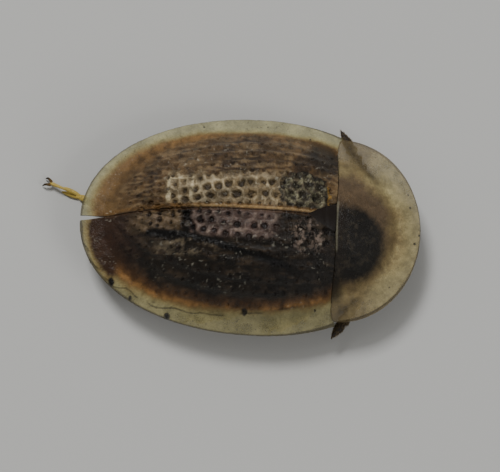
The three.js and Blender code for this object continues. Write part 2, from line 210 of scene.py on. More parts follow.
def lay(under: Array, over: Array, mask: Array) -> Array:
    """Lays one colour over others through a mask.

    Args:
        under: Colours, one row a point.
        over: One colour, or a row for each point.
        mask: How much of the new colour shows at each point.

    Returns:
        The mixed colours.
    """
    share = np.clip(mask, 0.0, 1.0)[..., None]
    return under * (1.0 - share) + over * share


def unit(way: Array) -> Array:
    """Scales a direction to length 1.

    Args:
        way: The direction.

    Returns:
        The scaled direction.
    """
    return way / np.linalg.norm(way)


def shares_over(columns: int, rows: int, low: float = 0.0) -> tuple[Array, Array]:
    """Lays shares over a sheet.

    Args:
        columns: How many cells the sheet has along it.
        rows: How many it has across.
        low: Where the shares across it start. All shares end at 1.

    Returns:
        The shares along the sheet, from 0, and those across it.
    """
    along, across = np.meshgrid(np.linspace(0, 1, columns + 1), np.linspace(low, 1, rows + 1), indexing="ij")
    return along, across


# The body's plan


class Side(Enum):
    """The two sides of the beetle."""

    LEFT = "left"
    RIGHT = "right"

    @property
    def sign(self) -> float:
        """1 on the left and -1 on the right."""
        return 1.0 if self is Side.LEFT else -1.0


@dataclass(frozen=True)
class BodyPlan:
    """The sizes and curved surfaces that every piece is placed by."""

    half_length: float = 4.0
    wing_width: float = 5.2
    pronotum_width: float = 4.36
    pronotum_length: float = 2.05
    back_height: float = 3.0
    wing_rim: float = 0.95
    pronotum_rim: float = 1.05
    belly_height: float = 0.8
    crest_x: float = 0.15
    front_reach: float = 3.5
    outline_power: float = 2.1
    disc_edge: float = 0.82
    fan_x: float = -2.1
    scutellum_half_width: float = 0.34
    scutellum_length: float = 0.62

    @property
    def base_x(self) -> float:
        """Hind edge of the pronotum on the midline."""
        return self.half_length - self.pronotum_length

    @property
    def corner_x(self) -> float:
        """Where the pronotum is widest."""
        return self.base_x + 0.15

    @property
    def rear_reach(self) -> float:
        """From the crest of the back to the tail."""
        return self.crest_x + self.half_length

    def wing_share(self, x: Array, y: Array) -> Array:
        """Says how far out a place lies on the wing cases.

        Args:
            x: Places along the plan.
            y: Places across it.

        Returns:
            The share, from 0 at the crest to 1 at the edge.
        """
        reach = np.where(x < self.crest_x, self.rear_reach, self.front_reach)
        along = np.abs((x - self.crest_x) / reach) ** self.outline_power
        across = np.abs(2.0 * y / self.wing_width) ** self.outline_power
        return (along + across) ** (1.0 / self.outline_power)

    def wing_half_width(self, x: Array, share: float) -> Array:
        """Measures the ring of the wing cases that lies a given share of the way out.

        Args:
            x: Places along the plan.
            share: How far out the ring lies.

        Returns:
            The ring's half width at each place.
        """
        reach = np.where(x < self.crest_x, self.rear_reach, self.front_reach)
        along = np.abs((x - self.crest_x) / reach) ** self.outline_power
        inside = np.maximum(share**self.outline_power - along, 0.0)
        return self.wing_width / 2.0 * inside ** (1.0 / self.outline_power)

    def wing_top(self, x: Array, y: Array) -> Array:
        """Gives the height of the back over the wing cases.

        Args:
            x: Places along the plan.
            y: Places across it.

        Returns:
            The heights.
        """
        share = self.wing_share(x, y)
        dome = 1.0 - (share / 0.88) ** 2.6
        margin = 0.8 * (1.0 - share)
        away = (x - 1.45) ** 2 + (np.abs(y) - 1.35) ** 2
        rise = (self.back_height - self.wing_rim) * soft_max(dome, margin, 0.08)
        return self.wing_rim + rise + 0.07 * np.exp(-away / 0.09)

    def pronotum_share(self, x: Array, y: Array) -> Array:
        """How far out a place lies on the pronotum, from 0 at the hind edge to 1 at the front edge."""
        return np.hypot((x - self.base_x) / self.pronotum_length, 2.0 * y / self.pronotum_width)

    def pronotum_top(self, x: Array, y: Array) -> Array:
        """Gives the height of the back over the pronotum.

        Args:
            x: Places along the plan.
            y: Places across it.

        Returns:
            The heights.
        """
        share = self.pronotum_share(x, y)
        base_height = float(self.wing_top(np.array(self.base_x), np.array(0.0))) - 0.06
        cushion = 1.0 - (share / 0.76) ** 2.2
        margin = 0.5 * (1.0 - share)
        return self.pronotum_rim + (base_height - self.pronotum_rim) * soft_max(cushion, margin, 0.08)

    def pronotum_rear(self, y: Array) -> Array:
        """Draws the hind edge of the pronotum.

        Args:
            y: Places across the plan.

        Returns:
            The edge's place along the plan at each.
        """
        share = np.minimum(1.0, np.abs(2.0 * y / self.pronotum_width))
        wave = 0.05 * np.sin(math.pi * share) ** 2
        return self.corner_x - (self.corner_x - self.base_x) * np.sqrt(1.0 - share**8) + wave * (1.0 - share)

    def pronotum_front(self, y: Array) -> Array:
        """Front edge of the pronotum."""
        share = np.minimum(1.0, np.abs(2.0 * y / self.pronotum_width))
        return self.corner_x + (self.half_length - self.corner_x) * np.sqrt(1.0 - share**2)

    def wing_place(self, t: Array, b: Array, gap: float) -> tuple[Array, Array]:
        """Finds a place of the plan on a wing case.

        Args:
            t: Share of the way round from the shoulder to the tail.
            b: Share of the way out from the suture.
            gap: Room left at the suture and at the base.

        Returns:
            The plan's x and y, on the left side.
        """
        base, half = self.base_x, self.wing_width / 2.0
        start = math.acos(((base - self.crest_x) / self.front_reach) ** (self.outline_power / 2.0))
        angle = start + (math.pi - start) * t
        cosine = np.cos(angle)
        reach = np.where(cosine < 0.0, self.rear_reach, self.front_reach)
        edge_x = self.crest_x + np.sign(cosine) * reach * np.abs(cosine) ** (2.0 / self.outline_power)
        edge_y = half * np.clip(np.sin(angle), 0.0, 1.0) ** (2.0 / self.outline_power)
        inner_x = base - gap + (self.fan_x - base + gap) * t
        x = inner_x * (1.0 - b) + edge_x * b
        y = edge_y * b
        away = y / (self.scutellum_half_width + 1.5 * gap)
        notch = (self.scutellum_length + 2.4 * gap) * np.maximum(0.0, 1.0 - away)
        straight = (base - gap) * (1.0 - b) + base * b
        x = x + (self.pronotum_rear(y) - gap - notch - straight) * (1.0 - t) ** 5
        return x, gap / 2.0 + y * (1.0 - gap / self.wing_width)

    def belly(self, y: Array) -> Array:
        """Height of the underside, a shallow keel."""
        return self.belly_height + 0.1 * (y / 1.6) ** 2


Surface = Callable[[Array, Array], Array]


def slopes(surface: Surface, x: Array, y: Array) -> Array:
    """Finds the unit normals of a surface of heights.

    Args:
        surface: Gives the height over a place.
        x: Places along the first axis.
        y: Places along the second axis.

    Returns:
        The normals, pointing up.
    """
    step = 1e-3
    along = (surface(x + step, y) - surface(x - step, y)) / (2.0 * step)
    across = (surface(x, y + step) - surface(x, y - step)) / (2.0 * step)
    normal = np.stack([-along, -across, np.ones_like(along)], axis=-1)
    return normal / np.linalg.norm(normal, axis=-1, keepdims=True)


@dataclass(frozen=True)
class Place:
    """Carries the plan's millimetres into the scene's metres."""

    shift: float

    @classmethod
    def from_frame(cls, plan: BodyPlan) -> Place:
        """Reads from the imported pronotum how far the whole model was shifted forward."""
        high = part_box("pronotum")[1]
        return cls(shift=float(high[0]) - plan.half_length * MILLI)

    def metres(self, points: Array) -> Array:
        """Scales and shifts points of the plan into the scene."""
        moved = np.asarray(points, dtype=float) * MILLI
        return moved + np.array([self.shift, 0.0, 0.0])


# Meshes


@dataclass
class Form:
    """A mesh in the making, with a tint, a cover and a fuzz value at each point."""

    points: list[Array] = field(default_factory=list)
    faces: list[tuple[int, ...]] = field(default_factory=list)
    tints: list[Array] = field(default_factory=list)
    covers: list[Array] = field(default_factory=list)
    fuzz: list[Array] = field(default_factory=list)
    lies: list[Array] = field(default_factory=list)
    unwraps: list[Array] = field(default_factory=list)
    count: int = 0

    def add(
        self,
        points: Array,
        faces: Sequence[tuple[int, ...]],
        tint: Array,
        cover: Array | float = 1.0,
        fuzz: Array | float = 0.0,
        lie: Array | None = None,
    ) -> None:
        """Adds a closed part, turned so that its faces point out.

        Args:
            points: The part's points in millimetres.
            faces: Its faces, numbered from its own first point.
            tint: One colour, or one for each point.
            cover: How solid it is, from 0 for clear to 1.
            fuzz: How many hairs it carries, from 0 to 1.
            lie: The way that its hairs lean.
        """
        points = np.asarray(points, dtype=float).reshape(-1, 3)
        number = len(points)
        if signed_volume(points, faces) < 0.0:
            faces = [tuple(reversed(face)) for face in faces]
        start = self.count
        self.faces.extend(tuple(start + i for i in face) for face in faces)
        self.points.append(points)
        self.tints.append(np.broadcast_to(tint, (number, 3)).copy())
        self.covers.append(np.broadcast_to(cover, (number,)).copy())
        self.fuzz.append(np.broadcast_to(fuzz, (number,)) * smooth(BARE_BELOW, HAIRY_ABOVE, points[:, 2]))
        lean = np.zeros(3) if lie is None else lie
        self.lies.append(np.broadcast_to(lean, (number, 3)).copy())
        self.unwraps.append(rolled_out(points, len(self.unwraps)))
        self.count += number

    def build(self, name: str, place: Place, finish: bpy.types.Material) -> bpy.types.Object:
        """Makes the Blender object.

        Args:
            name: The object's name.
            place: Carries the points into the scene.
            finish: The material of every face.

        Returns:
            The new object, at the origin.
        """
        mesh = bpy.data.meshes.new(name)
        mesh.from_pydata(place.metres(np.concatenate(self.points)).tolist(), [], self.faces)
        store(mesh, "Tint", "FLOAT_COLOR", np.concatenate(self.tints))
        store(mesh, "Cover", "FLOAT", np.concatenate(self.covers))
        store(mesh, "Fuzz", "FLOAT", np.concatenate(self.fuzz))
        store(mesh, "Lie", "FLOAT_VECTOR", np.concatenate(self.lies))
        store(mesh, "Unwrap", "FLOAT_VECTOR", np.concatenate(self.unwraps))
        mesh.materials.append(finish)
        mesh.polygons.foreach_set("use_smooth", np.ones(len(mesh.polygons), dtype=bool))
        mesh.update()
        mesh.set_sharp_from_angle(angle=CREASE)
        made = bpy.data.objects.new(name, mesh)
        bpy.context.scene.collection.objects.link(made)
        return made


def rolled_out(points: Array, tile: int) -> Array:
    """Unrolls a part round its own long axis into one tile of the unit square.

    Args:
        points: The part's points.
        tile: The part's number, which picks its tile.

    Returns:
        The unrolled places, with a third column of zeros.
    """
    centred = points - points.mean(axis=0)
    axes = np.linalg.svd(centred, full_matrices=False)[2]
    along, across, over = (centred @ axes.T).T
    u = (along - along.min()) / max(float(np.ptp(along)), 1e-9)
    v = np.arctan2(over, across) / (2.0 * math.pi) + 0.5
    column = (tile % TILES + 0.04 + 0.9 * u) / TILES
    row = (tile // TILES % TILES + 0.04 + 0.9 * v) / TILES
    return np.stack([column, row, 0.0 * u], axis=1)


def store(mesh: bpy.types.Mesh, name: str, kind: str, values: Array) -> None:
    """Writes a value for each point of a mesh.

    Args:
        mesh: The mesh.
        name: The attribute's name.
        kind: Its type, such as FLOAT.
        values: One row for each point.
    """
    layer = mesh.attributes.new(name, kind, "POINT")
    if kind == "FLOAT_COLOR":
        rows = np.concatenate([values, np.ones((len(values), 1))], axis=1)
        layer.data.foreach_set("color", rows.astype(np.float32).ravel())
    elif kind == "FLOAT_VECTOR":
        layer.data.foreach_set("vector", values.astype(np.float32).ravel())
    else:
        layer.data.foreach_set("value", values.astype(np.float32).ravel())


def signed_volume(points: Array, faces: Sequence[tuple[int, ...]]) -> float:
    """Sums the volume that faces enclose, which is negative where they point in.

    Args:
        points: The points.
        faces: The faces of a closed mesh.

    Returns:
        The signed volume.
    """
    by_size: dict[int, list[tuple[int, ...]]] = {}
    for face in faces:
        by_size.setdefault(len(face), []).append(face)
    total = 0.0
    for size, group in by_size.items():
        ids = np.array(group)
        for k in range(1, size - 1):
            a, b, c = points[ids[:, 0]], points[ids[:, k]], points[ids[:, k + 1]]
            total += float(np.einsum("ij,ij->i", a, np.cross(b, c)).sum())
    return total


def shell(top: Array, bottom: Array) -> tuple[Array, list[tuple[int, ...]]]:
    """Closes a fine upper sheet with a coarser lower one.

    Args:
        top: Points of the upper sheet, as columns by rows by 3.
        bottom: Points of the lower sheet, whose steps divide those of the upper one.

    Returns:
        The points and faces of the closed shell.
    """
    columns, rows = top.shape[0] - 1, top.shape[1] - 1
    wide, deep = bottom.shape[0] - 1, bottom.shape[1] - 1
    step_c, step_r = columns // wide, rows // deep
    upper = np.arange((columns + 1) * (rows + 1)).reshape(columns + 1, rows + 1)
    lower = upper.size + np.arange((wide + 1) * (deep + 1)).reshape(wide + 1, deep + 1)
    quads = np.stack([upper[:-1, :-1], upper[1:, :-1], upper[1:, 1:], upper[:-1, 1:]], axis=-1)
    faces: list[tuple[int, ...]] = [tuple(q) for q in quads.reshape(-1, 4).tolist()]
    back = np.stack([lower[:-1, :-1], lower[:-1, 1:], lower[1:, 1:], lower[1:, :-1]], axis=-1)
    faces += [tuple(q) for q in back.reshape(-1, 4).tolist()]
    upper_edge = [*upper[:-1, 0], *upper[-1, :-1], *upper[:0:-1, -1], *upper[0, :0:-1]]
    lower_edge = [*lower[:-1, 0], *lower[-1, :-1], *lower[:0:-1, -1], *lower[0, :0:-1]]
    steps = [step_c] * wide + [step_r] * deep + [step_c] * wide + [step_r] * deep
    place = 0
    for k, step in enumerate(steps):
        run = [int(upper_edge[(place + i) % len(upper_edge)]) for i in range(step + 1)]
        near, far = int(lower_edge[k]), int(lower_edge[(k + 1) % len(lower_edge)])
        half = step // 2
        if step == 1:
            faces.append((run[1], run[0], near, far))
        else:
            faces.append((*reversed(run[: half + 1]), near))
            faces.append((*reversed(run[half:]), near, far))
        place += step
    points = np.concatenate([top.reshape(-1, 3), bottom.reshape(-1, 3)])
    return points, faces


def tube_faces(count: int, sides: int) -> list[tuple[int, ...]]:
    """Joins rings of points into a tube that two last points close, one at each end.

    Args:
        count: How many rings there are.
        sides: How many points each has.

    Returns:
        The faces.
    """
    faces: list[tuple[int, ...]] = []
    for i in range(count - 1):
        for j in range(sides):
            k = (j + 1) % sides
            faces.append((i * sides + j, i * sides + k, (i + 1) * sides + k, (i + 1) * sides + j))
    first, last = count * sides, count * sides + 1
    for j in range(sides):
        k = (j + 1) % sides
        faces.append((first, k, j))
        faces.append((last, (count - 1) * sides + j, (count - 1) * sides + k))
    return faces


def sweep(path: Array, widths: Array, heights: Array, sides: int) -> tuple[Array, list[tuple[int, ...]]]:
    """Draws an oval section along a path, and closes both ends.

    Args:
        path: The points that its middle follows.
        widths: Half widths, level across the path, at each point.
        heights: Half heights at each point.
        sides: How many sides the section has.

    Returns:
        The points and faces.
    """
    path = np.asarray(path, dtype=float)
    along = np.gradient(path, axis=0)
    along /= np.linalg.norm(along, axis=1, keepdims=True)
    across = np.cross(along, UP)
    across /= np.linalg.norm(across, axis=1, keepdims=True)
    rise = np.cross(across, along)
    turn = np.arange(sides) * 2.0 * math.pi / sides
    rings = (
        path[:, None]
        + across[:, None] * (np.asarray(widths)[:, None] * np.cos(turn))[..., None]
        + rise[:, None] * (np.asarray(heights)[:, None] * np.sin(turn))[..., None]
    )
    points = np.concatenate([rings.reshape(-1, 3), path[:1], path[-1:]])
    return points, tube_faces(len(path), sides)


def ring_shares(shares: Array, sides: int) -> Array:
    """Gives each point of a sweep its share of the way along.

    Args:
        shares: The share of each ring.
        sides: How many points a ring has.

    Returns:
        The share of each point, with the two end points last.
    """
    return np.concatenate([np.repeat(shares, sides), [0.0, 1.0]])


def globe(
    centre: Sequence[float], radii: Sequence[float], columns: int, rows: int
) -> tuple[Array, list[tuple[int, ...]]]:
    """Makes an ellipsoid with its poles to the left and right.

    Args:
        centre: Its middle.
        radii: Its half sizes.
        columns: Steps round it.
        rows: Steps from pole to pole.

    Returns:
        The points and faces.
    """
    tilt = np.linspace(0.0, math.pi, rows + 1)
    path = np.stack([np.zeros(rows + 1), np.cos(tilt), np.zeros(rows + 1)], axis=1)
    turn = np.arange(columns) * 2.0 * math.pi / columns
    ring = np.stack([np.cos(turn), np.zeros(columns), np.sin(turn)], axis=1)
    body = path[1:-1, None] + ring[None] * np.sin(tilt[1:-1])[:, None, None]
    points = np.concatenate([body.reshape(-1, 3), path[:1], path[-1:]]) * np.array(radii) + np.array(centre)
    return points, tube_faces(rows - 1, columns)


def bent(corners: Sequence[Sequence[float]], count: int) -> Array:
    """Runs a smooth curve through corners.

    Args:
        corners: The points that it passes.
        count: How many points it gets.

    Returns:
        The curve's points, evenly spaced along the corners.
    """
    knots = np.asarray(corners, dtype=float)
    padded = np.concatenate([2 * knots[:1] - knots[1:2], knots, 2 * knots[-1:] - knots[-2:-1]])
    places = np.linspace(0.0, len(knots) - 1.0, count)
    index = np.minimum(places.astype(int), len(knots) - 2)
    t = (places - index)[:, None]
    a, b, c, d = (padded[index + k] for k in range(4))
    line = (2 * b + (c - a) * t + (2 * a - 5 * b + 4 * c - d) * t**2 + (3 * b - a - 3 * c + d) * t**3) / 2.0
    steps = np.concatenate([[0.0], np.cumsum(np.linalg.norm(np.diff(line, axis=0), axis=1))])
    even = np.linspace(0.0, steps[-1], count)
    return np.stack([np.interp(even, steps, line[:, k]) for k in range(3)], axis=1)


# Materials


class Wire:
    """A shader socket that takes part in sums."""

    def __init__(self, tree: bpy.types.NodeTree, socket: bpy.types.NodeSocket) -> None:
        """Keeps the socket and the tree that it is in."""
        self.tree = tree
        self.socket = socket

    def _joined(self, operation: str, first: Any, second: Any) -> Wire:
        """Adds one Math node.

        Args:
            operation: What the node does.
            first: A wire or a number.
            second: A wire or a number.

        Returns:
            The node's result.
        """
        node = self.tree.nodes.new("ShaderNodeMath")
        node.operation = operation
        for slot, value in zip(node.inputs, (first, second)):
            if isinstance(value, Wire):
                self.tree.links.new(value.socket, slot)
            else:
                slot.default_value = float(value)
        return Wire(self.tree, node.outputs[0])

    def __add__(self, other: Any) -> Wire:
        """Adds."""
        return self._joined("ADD", self, other)

    def __radd__(self, other: Any) -> Wire:
        """Adds to a number."""
        return self._joined("ADD", other, self)

    def __sub__(self, other: Any) -> Wire:
        """Takes away."""
        return self._joined("SUBTRACT", self, other)

    def __rsub__(self, other: Any) -> Wire:
        """Takes this away from a number."""
        return self._joined("SUBTRACT", other, self)

    def __mul__(self, other: Any) -> Wire:
        """Multiplies."""
        return self._joined("MULTIPLY", self, other)

    def __rmul__(self, other: Any) -> Wire:
        """Multiplies a number."""
        return self._joined("MULTIPLY", other, self)


class Recipe:
    """A material being put together."""

    def __init__(self, name: str) -> None:
        """Starts a material with an empty node tree.

        Args:
            name: The material's name.
        """
        self.material = bpy.data.materials.new(name)
        self.material.use_nodes = True
        self.tree = self.material.node_tree
        self.tree.nodes.clear()

    def node(self, kind: str, settings: dict[str, Any] | None = None, **sockets: Any) -> bpy.types.Node:
        """Adds a node.

        Args:
            kind: The node's type.
            settings: Its own settings, set before its sockets.
            **sockets: Values or wires for its inputs, with spaces in their names written as underscores.

        Returns:
            The node.
        """
        made = self.tree.nodes.new(kind)
        for key, value in (settings or {}).items():
            setattr(made, key, value)
        for key, value in sockets.items():
            slot = made.inputs[key.replace("_", " ")]
            if isinstance(value, Wire):
                self.tree.links.new(value.socket, slot)
            else:
                slot.default_value = value
        return made

    def wire(self, node: bpy.types.Node, output: str | int = 0) -> Wire:
        """Takes one of a node's outputs."""
        return Wire(self.tree, node.outputs[output])

    def attribute(self, name: str, output: str = "Fac") -> Wire:
        """Reads a value stored on the mesh."""
        return self.wire(self.node("ShaderNodeAttribute", {"attribute_name": name}), output)

    def noise(self, size: float, detail: float = 3.0, roughness: float = 0.55) -> Wire:
        """Draws noise in object space.

        Args:
            size: Width of a blotch in millimetres.
            detail: How many finer layers it has.
            roughness: How strong those are.

        Returns:
            The noise, between 0 and 1.
        """
        place = self.wire(self.node("ShaderNodeTexCoord"), "Object")
        scale = 1.0 / (size * MILLI)
        made = self.node(
            "ShaderNodeTexNoise", None, Vector=place, Scale=scale, Detail=detail, Roughness=roughness
        )
        return self.wire(made)

    def cells(self, size: float) -> Wire:
        """Draws a net of cells in object space.

        Args:
            size: Width of a cell in millimetres.

        Returns:
            The distance to the nearest edge between two cells.
        """
        place = self.wire(self.node("ShaderNodeTexCoord"), "Object")
        edges = {"feature": "DISTANCE_TO_EDGE"}
        made = self.node("ShaderNodeTexVoronoi", edges, Vector=place, Scale=1.0 / (size * MILLI))
        return self.wire(made, "Distance")

    def ramp(self, value: Wire, stops: Sequence[tuple[float, float]]) -> Wire:
        """Bends a value through grey stops.

        Args:
            value: The value.
            stops: Places and the greys there.

        Returns:
            The bent value.
        """
        made = self.node("ShaderNodeValToRGB", None, Fac=value)
        points = made.color_ramp.elements
        while len(points) > len(stops):
            points.remove(points[-1])
        while len(points) < len(stops):
            points.new(1.0)
        for point, (place, grey) in zip(points, stops):
            point.position = place
            point.color = (grey, grey, grey, 1.0)
        return self.wire(made, "Color")

    def blended(self, factor: Any, first: Any, second: Any, mode: str = "MIX") -> Wire:
        """Mixes two colours.

        Args:
            factor: How much of the second shows.
            first: A wire or a colour.
            second: A wire or a colour.
            mode: How they mix.

        Returns:
            The mixed colour.
        """
        made = self.tree.nodes.new("ShaderNodeMix")
        made.data_type = "RGBA"
        made.blend_type = mode
        # The node's colour sockets come after those for numbers and vectors
        for index, value in ((0, factor), (6, first), (7, second)):
            if isinstance(value, Wire):
                self.tree.links.new(value.socket, made.inputs[index])
            else:
                made.inputs[index].default_value = value if index == 0 else (*value, 1.0)
        return Wire(self.tree, made.outputs[2])

    def bumped(self, height: Wire, depth: float) -> Wire:
        """Turns a height into a bent normal.

        Args:
            height: The height, between 0 and 1.
            depth: What 1 stands for, in millimetres.

        Returns:
            The normal.
        """
        made = self.node("ShaderNodeBump", None, Height=height, Distance=depth * MILLI, Strength=1.0)
        return self.wire(made)

    def finished(self, **sockets: Any) -> bpy.types.Material:
        """Closes the material with a Principled shader.

        Args:
            **sockets: Values or wires for the shader's inputs.

        Returns:
            The material.
        """
        shader = self.node("ShaderNodeBsdfPrincipled", None, **sockets)
        self.node("ShaderNodeOutputMaterial", None, Surface=self.wire(shader))
        return self.material


@dataclass(frozen=True)
class Chitin:
    """The beetle's shell in one of its states: its colour is on the mesh, its grain is made here."""

    name: str
    roughness: float = 0.4
    grain: float = 0.05
    grain_depth: float = 0.004
    contrast: float = 0.35
    shine: float = 0.24
    coat: float = 0.0
    clear: bool = False

    def make(self) -> bpy.types.Material:
        """Mottles the tint, adds a fine net and a soft gloss.

        Returns:
            The material.
        """
        recipe = Recipe(self.name)
        blotch = recipe.noise(0.22, 4.0)
        dust = recipe.noise(0.03, 2.0, 0.6)
        net = recipe.ramp(recipe.cells(self.grain), [(0.0, 0.0), (0.22, 1.0)])
        shade = 1.0 + self.contrast * (0.9 * blotch + 1.3 * dust - 1.1)
        grey = recipe.node("ShaderNodeCombineColor", None, Red=shade, Green=shade, Blue=shade)
        tint = recipe.blended(1.0, recipe.attribute("Tint", "Color"), recipe.wire(grey), "MULTIPLY")
        height = 0.6 * net + 0.4 * recipe.noise(self.grain * 0.6, 2.0)
        inputs: dict[str, Any] = {
            "Base_Color": tint,
            "Roughness": self.roughness - 0.1 + 0.25 * blotch,
            "Normal": recipe.bumped(height, self.grain_depth),
            "IOR": 1.45,
            "Specular_IOR_Level": self.shine,
        }
        if self.clear:
            inputs["Alpha"] = recipe.attribute("Cover")
        if self.coat:
            inputs["Coat_Weight"] = self.coat
            inputs["Coat_Roughness"] = 0.2
        return recipe.finished(**inputs)


@dataclass(frozen=True)
class Backdrop:
    """The plain pale floor."""

    name: str = "pale_floor"

    def make(self) -> bpy.types.Material:
        """Builds a faintly mottled pale grey.

        Returns:
            The material.
        """
        recipe = Recipe(self.name)
        grey = recipe.blended(recipe.noise(40.0, 2.0), (0.42, 0.42, 0.41), (0.45, 0.45, 0.435))
        return recipe.finished(Base_Color=grey, Roughness=0.85)


@dataclass
class Finishes:
    """Every material of the beetle, made once."""

    wing_left: bpy.types.Material = field(init=False)
    wing_right: bpy.types.Material = field(init=False)
    pronotum: bpy.types.Material = field(init=False)
    dark: bpy.types.Material = field(init=False)
    body: bpy.types.Material = field(init=False)
    eye: bpy.types.Material = field(init=False)
    leg: bpy.types.Material = field(init=False)
    feeler: bpy.types.Material = field(init=False)
    hair: bpy.types.Material = field(init=False)

    def __post_init__(self) -> None:
        """Makes the materials."""
        thin: dict[str, Any] = {"grain": 0.04, "clear": True}
        self.wing_left = Chitin("wing_case_left", grain_depth=0.006, contrast=0.7, **thin).make()
        self.wing_right = Chitin("wing_case_right", 0.3, grain_depth=0.007, contrast=0.7, **thin).make()
        self.pronotum = Chitin("pronotum_shell", 0.38, grain_depth=0.007, contrast=0.6, **thin).make()
        self.dark = Chitin("dark_chitin", roughness=0.4).make()
        self.body = Chitin("body_chitin", roughness=0.45, grain=0.07, grain_depth=0.006).make()
        self.eye = Chitin("eye_black", roughness=0.2, grain_depth=0.001, coat=0.5).make()
        self.leg = Chitin("leg_yellow", roughness=0.4, grain=0.04).make()
        self.feeler = Chitin("feeler", roughness=0.5, grain=0.03).make()
        self.hair = Chitin("fine_hair", roughness=0.5, grain_depth=0.0005, contrast=0.2).make()


# Hairs


@dataclass(frozen=True)
class Bristles:
    """Short hairs over a skin, laid by Geometry Nodes where its fuzz value is above 0."""

    length: float
    radius: float
    density: float
    seed: int
    upright: float = 0.6
    patch: float = 0.003

    def tree(self, finish: bpy.types.Material) -> bpy.types.NodeTree:
        """Builds the node tree.

        Args:
            finish: The hairs' material.

        Returns:
            The tree, with inputs for the hairs' length, radius and density.
        """
        tree = bpy.data.node_groups.new("bristles", "GeometryNodeTree")
        face = tree.interface
        face.new_socket("Geometry", in_out="INPUT", socket_type="NodeSocketGeometry")
        for name in ("Length", "Radius", "Density"):
            face.new_socket(name, in_out="INPUT", socket_type="NodeSocketFloat")
        face.new_socket("Geometry", in_out="OUTPUT", socket_type="NodeSocketGeometry")
        add, link = tree.nodes.new, tree.links.new
        source, result = add("NodeGroupInput"), add("NodeGroupOutput")
        fuzz = add("GeometryNodeInputNamedAttribute")
        fuzz.data_type = "FLOAT"
        fuzz.inputs["Name"].default_value = "Fuzz"
        amount = add("ShaderNodeMath")
        amount.operation = "MULTIPLY"
        link(fuzz.outputs["Attribute"], amount.inputs[0])
        link(source.outputs["Density"], amount.inputs[1])
        spread = add("GeometryNodeDistributePointsOnFaces")
        spread.inputs["Seed"].default_value = self.seed
        link(source.outputs["Geometry"], spread.inputs["Mesh"])
        link(amount.outputs[0], spread.inputs["Density"])
        cone = add("GeometryNodeMeshCone")
        cone.inputs["Vertices"].default_value = 4
        cone.inputs["Radius Top"].default_value = 0.0
        link(source.outputs["Radius"], cone.inputs["Radius Bottom"])
        link(source.outputs["Length"], cone.inputs["Depth"])
        lie = add("GeometryNodeInputNamedAttribute")
        lie.data_type = "FLOAT_VECTOR"
        lie.inputs["Name"].default_value = "Lie"
        lift = add("ShaderNodeVectorMath")
        lift.operation = "SCALE"
        lift.inputs["Scale"].default_value = self.upright
        link(spread.outputs["Normal"], lift.inputs[0])
        stray = add("FunctionNodeRandomValue")
        stray.data_type = "FLOAT_VECTOR"
        stray.inputs["Min"].default_value = (-0.22, -0.22, -0.22)
        stray.inputs["Max"].default_value = (0.22, 0.22, 0.22)
        stray.inputs["Seed"].default_value = self.seed
        lean, way = add("ShaderNodeVectorMath"), add("ShaderNodeVectorMath")
        link(lie.outputs["Attribute"], lean.inputs[0])
        link(lift.outputs[0], lean.inputs[1])
        link(lean.outputs[0], way.inputs[0])
        link(stray.outputs["Value"], way.inputs[1])
        turn = add("FunctionNodeAlignRotationToVector")
        turn.axis = "Z"
        link(way.outputs[0], turn.inputs["Vector"])
        size = add("FunctionNodeRandomValue")
        size.inputs["Min"].default_value = 0.65
        size.inputs["Max"].default_value = 1.15
        size.inputs["Seed"].default_value = self.seed + 1
        lay_on = add("GeometryNodeInstanceOnPoints")
        link(spread.outputs["Points"], lay_on.inputs["Points"])
        link(cone.outputs["Mesh"], lay_on.inputs["Instance"])
        link(turn.outputs[0], lay_on.inputs["Rotation"])
        link(size.outputs[1], lay_on.inputs["Scale"])
        real, dress = add("GeometryNodeRealizeInstances"), add("GeometryNodeSetMaterial")
        dress.inputs["Material"].default_value = finish
        link(lay_on.outputs[0], real.inputs[0])
        link(real.outputs[0], dress.inputs["Geometry"])
        link(dress.outputs[0], result.inputs[0])
        return tree

    def grow(
        self, skin: bpy.types.Object, name: str, finish: bpy.types.Material, tint: Array
    ) -> bpy.types.Object:
        """Grows the hairs as a plain mesh.

        Args:
            skin: The piece that they stand on.
            name: The new object's name.
            finish: The hairs' material.
            tint: Their colour.

        Returns:
            The hairs' object.
        """
        tree = self.tree(finish)
        wants = {
            "Length": self.length * MILLI,
            "Radius": self.radius * MILLI,
            "Density": self.density / MILLI**2,
        }
        made = evaluated(skin, tree, wants, name)
        mesh = made.data
        roots = np.zeros(len(mesh.vertices) * 3, dtype=np.float32)
        mesh.attributes["Unwrap"].data.foreach_get("vector", roots)
        spread = np.array([(0, 0), (1, 0), (1, 1), (0, 1), (0.5, 0.5)]) * self.patch
        placed = roots.reshape(-1, 3)[:, :2] + spread[np.arange(len(mesh.vertices)) % len(spread)]
        loops = np.zeros(len(mesh.loops), dtype=np.int32)
        mesh.loops.foreach_get("vertex_index", loops)
        for layer in list(mesh.uv_layers):
            mesh.uv_layers.remove(layer)
        mesh.uv_layers.new(name="OFBake").data.foreach_set("uv", placed[loops].astype(np.float32).ravel())
        fix_tint(made, tint, finish)
        return made


def evaluated(
    carrier: bpy.types.Object, tree: bpy.types.NodeTree, inputs: dict[str, float], name: str
) -> bpy.types.Object:
    """Runs a Geometry Nodes tree once and keeps its result as a plain mesh.

    Args:
        carrier: The object that the tree starts from, which is left as it was.
        tree: The tree.
        inputs: The tree's named inputs.
        name: The new object's name.

    Returns:
        A new object with the result.
    """
    modifier = carrier.modifiers.new(name, "NODES")
    modifier.node_group = tree
    for item in tree.interface.items_tree:
        if item.item_type == "SOCKET" and item.in_out == "INPUT" and item.name in inputs:
            modifier[item.identifier] = inputs[item.name]
    graph = bpy.context.evaluated_depsgraph_get()
    graph.update()
    mesh = bpy.data.meshes.new_from_object(carrier.evaluated_get(graph))
    mesh.name = name
    carrier.modifiers.remove(modifier)
    made = bpy.data.objects.new(name, mesh)
    bpy.context.scene.collection.objects.link(made)
    return made


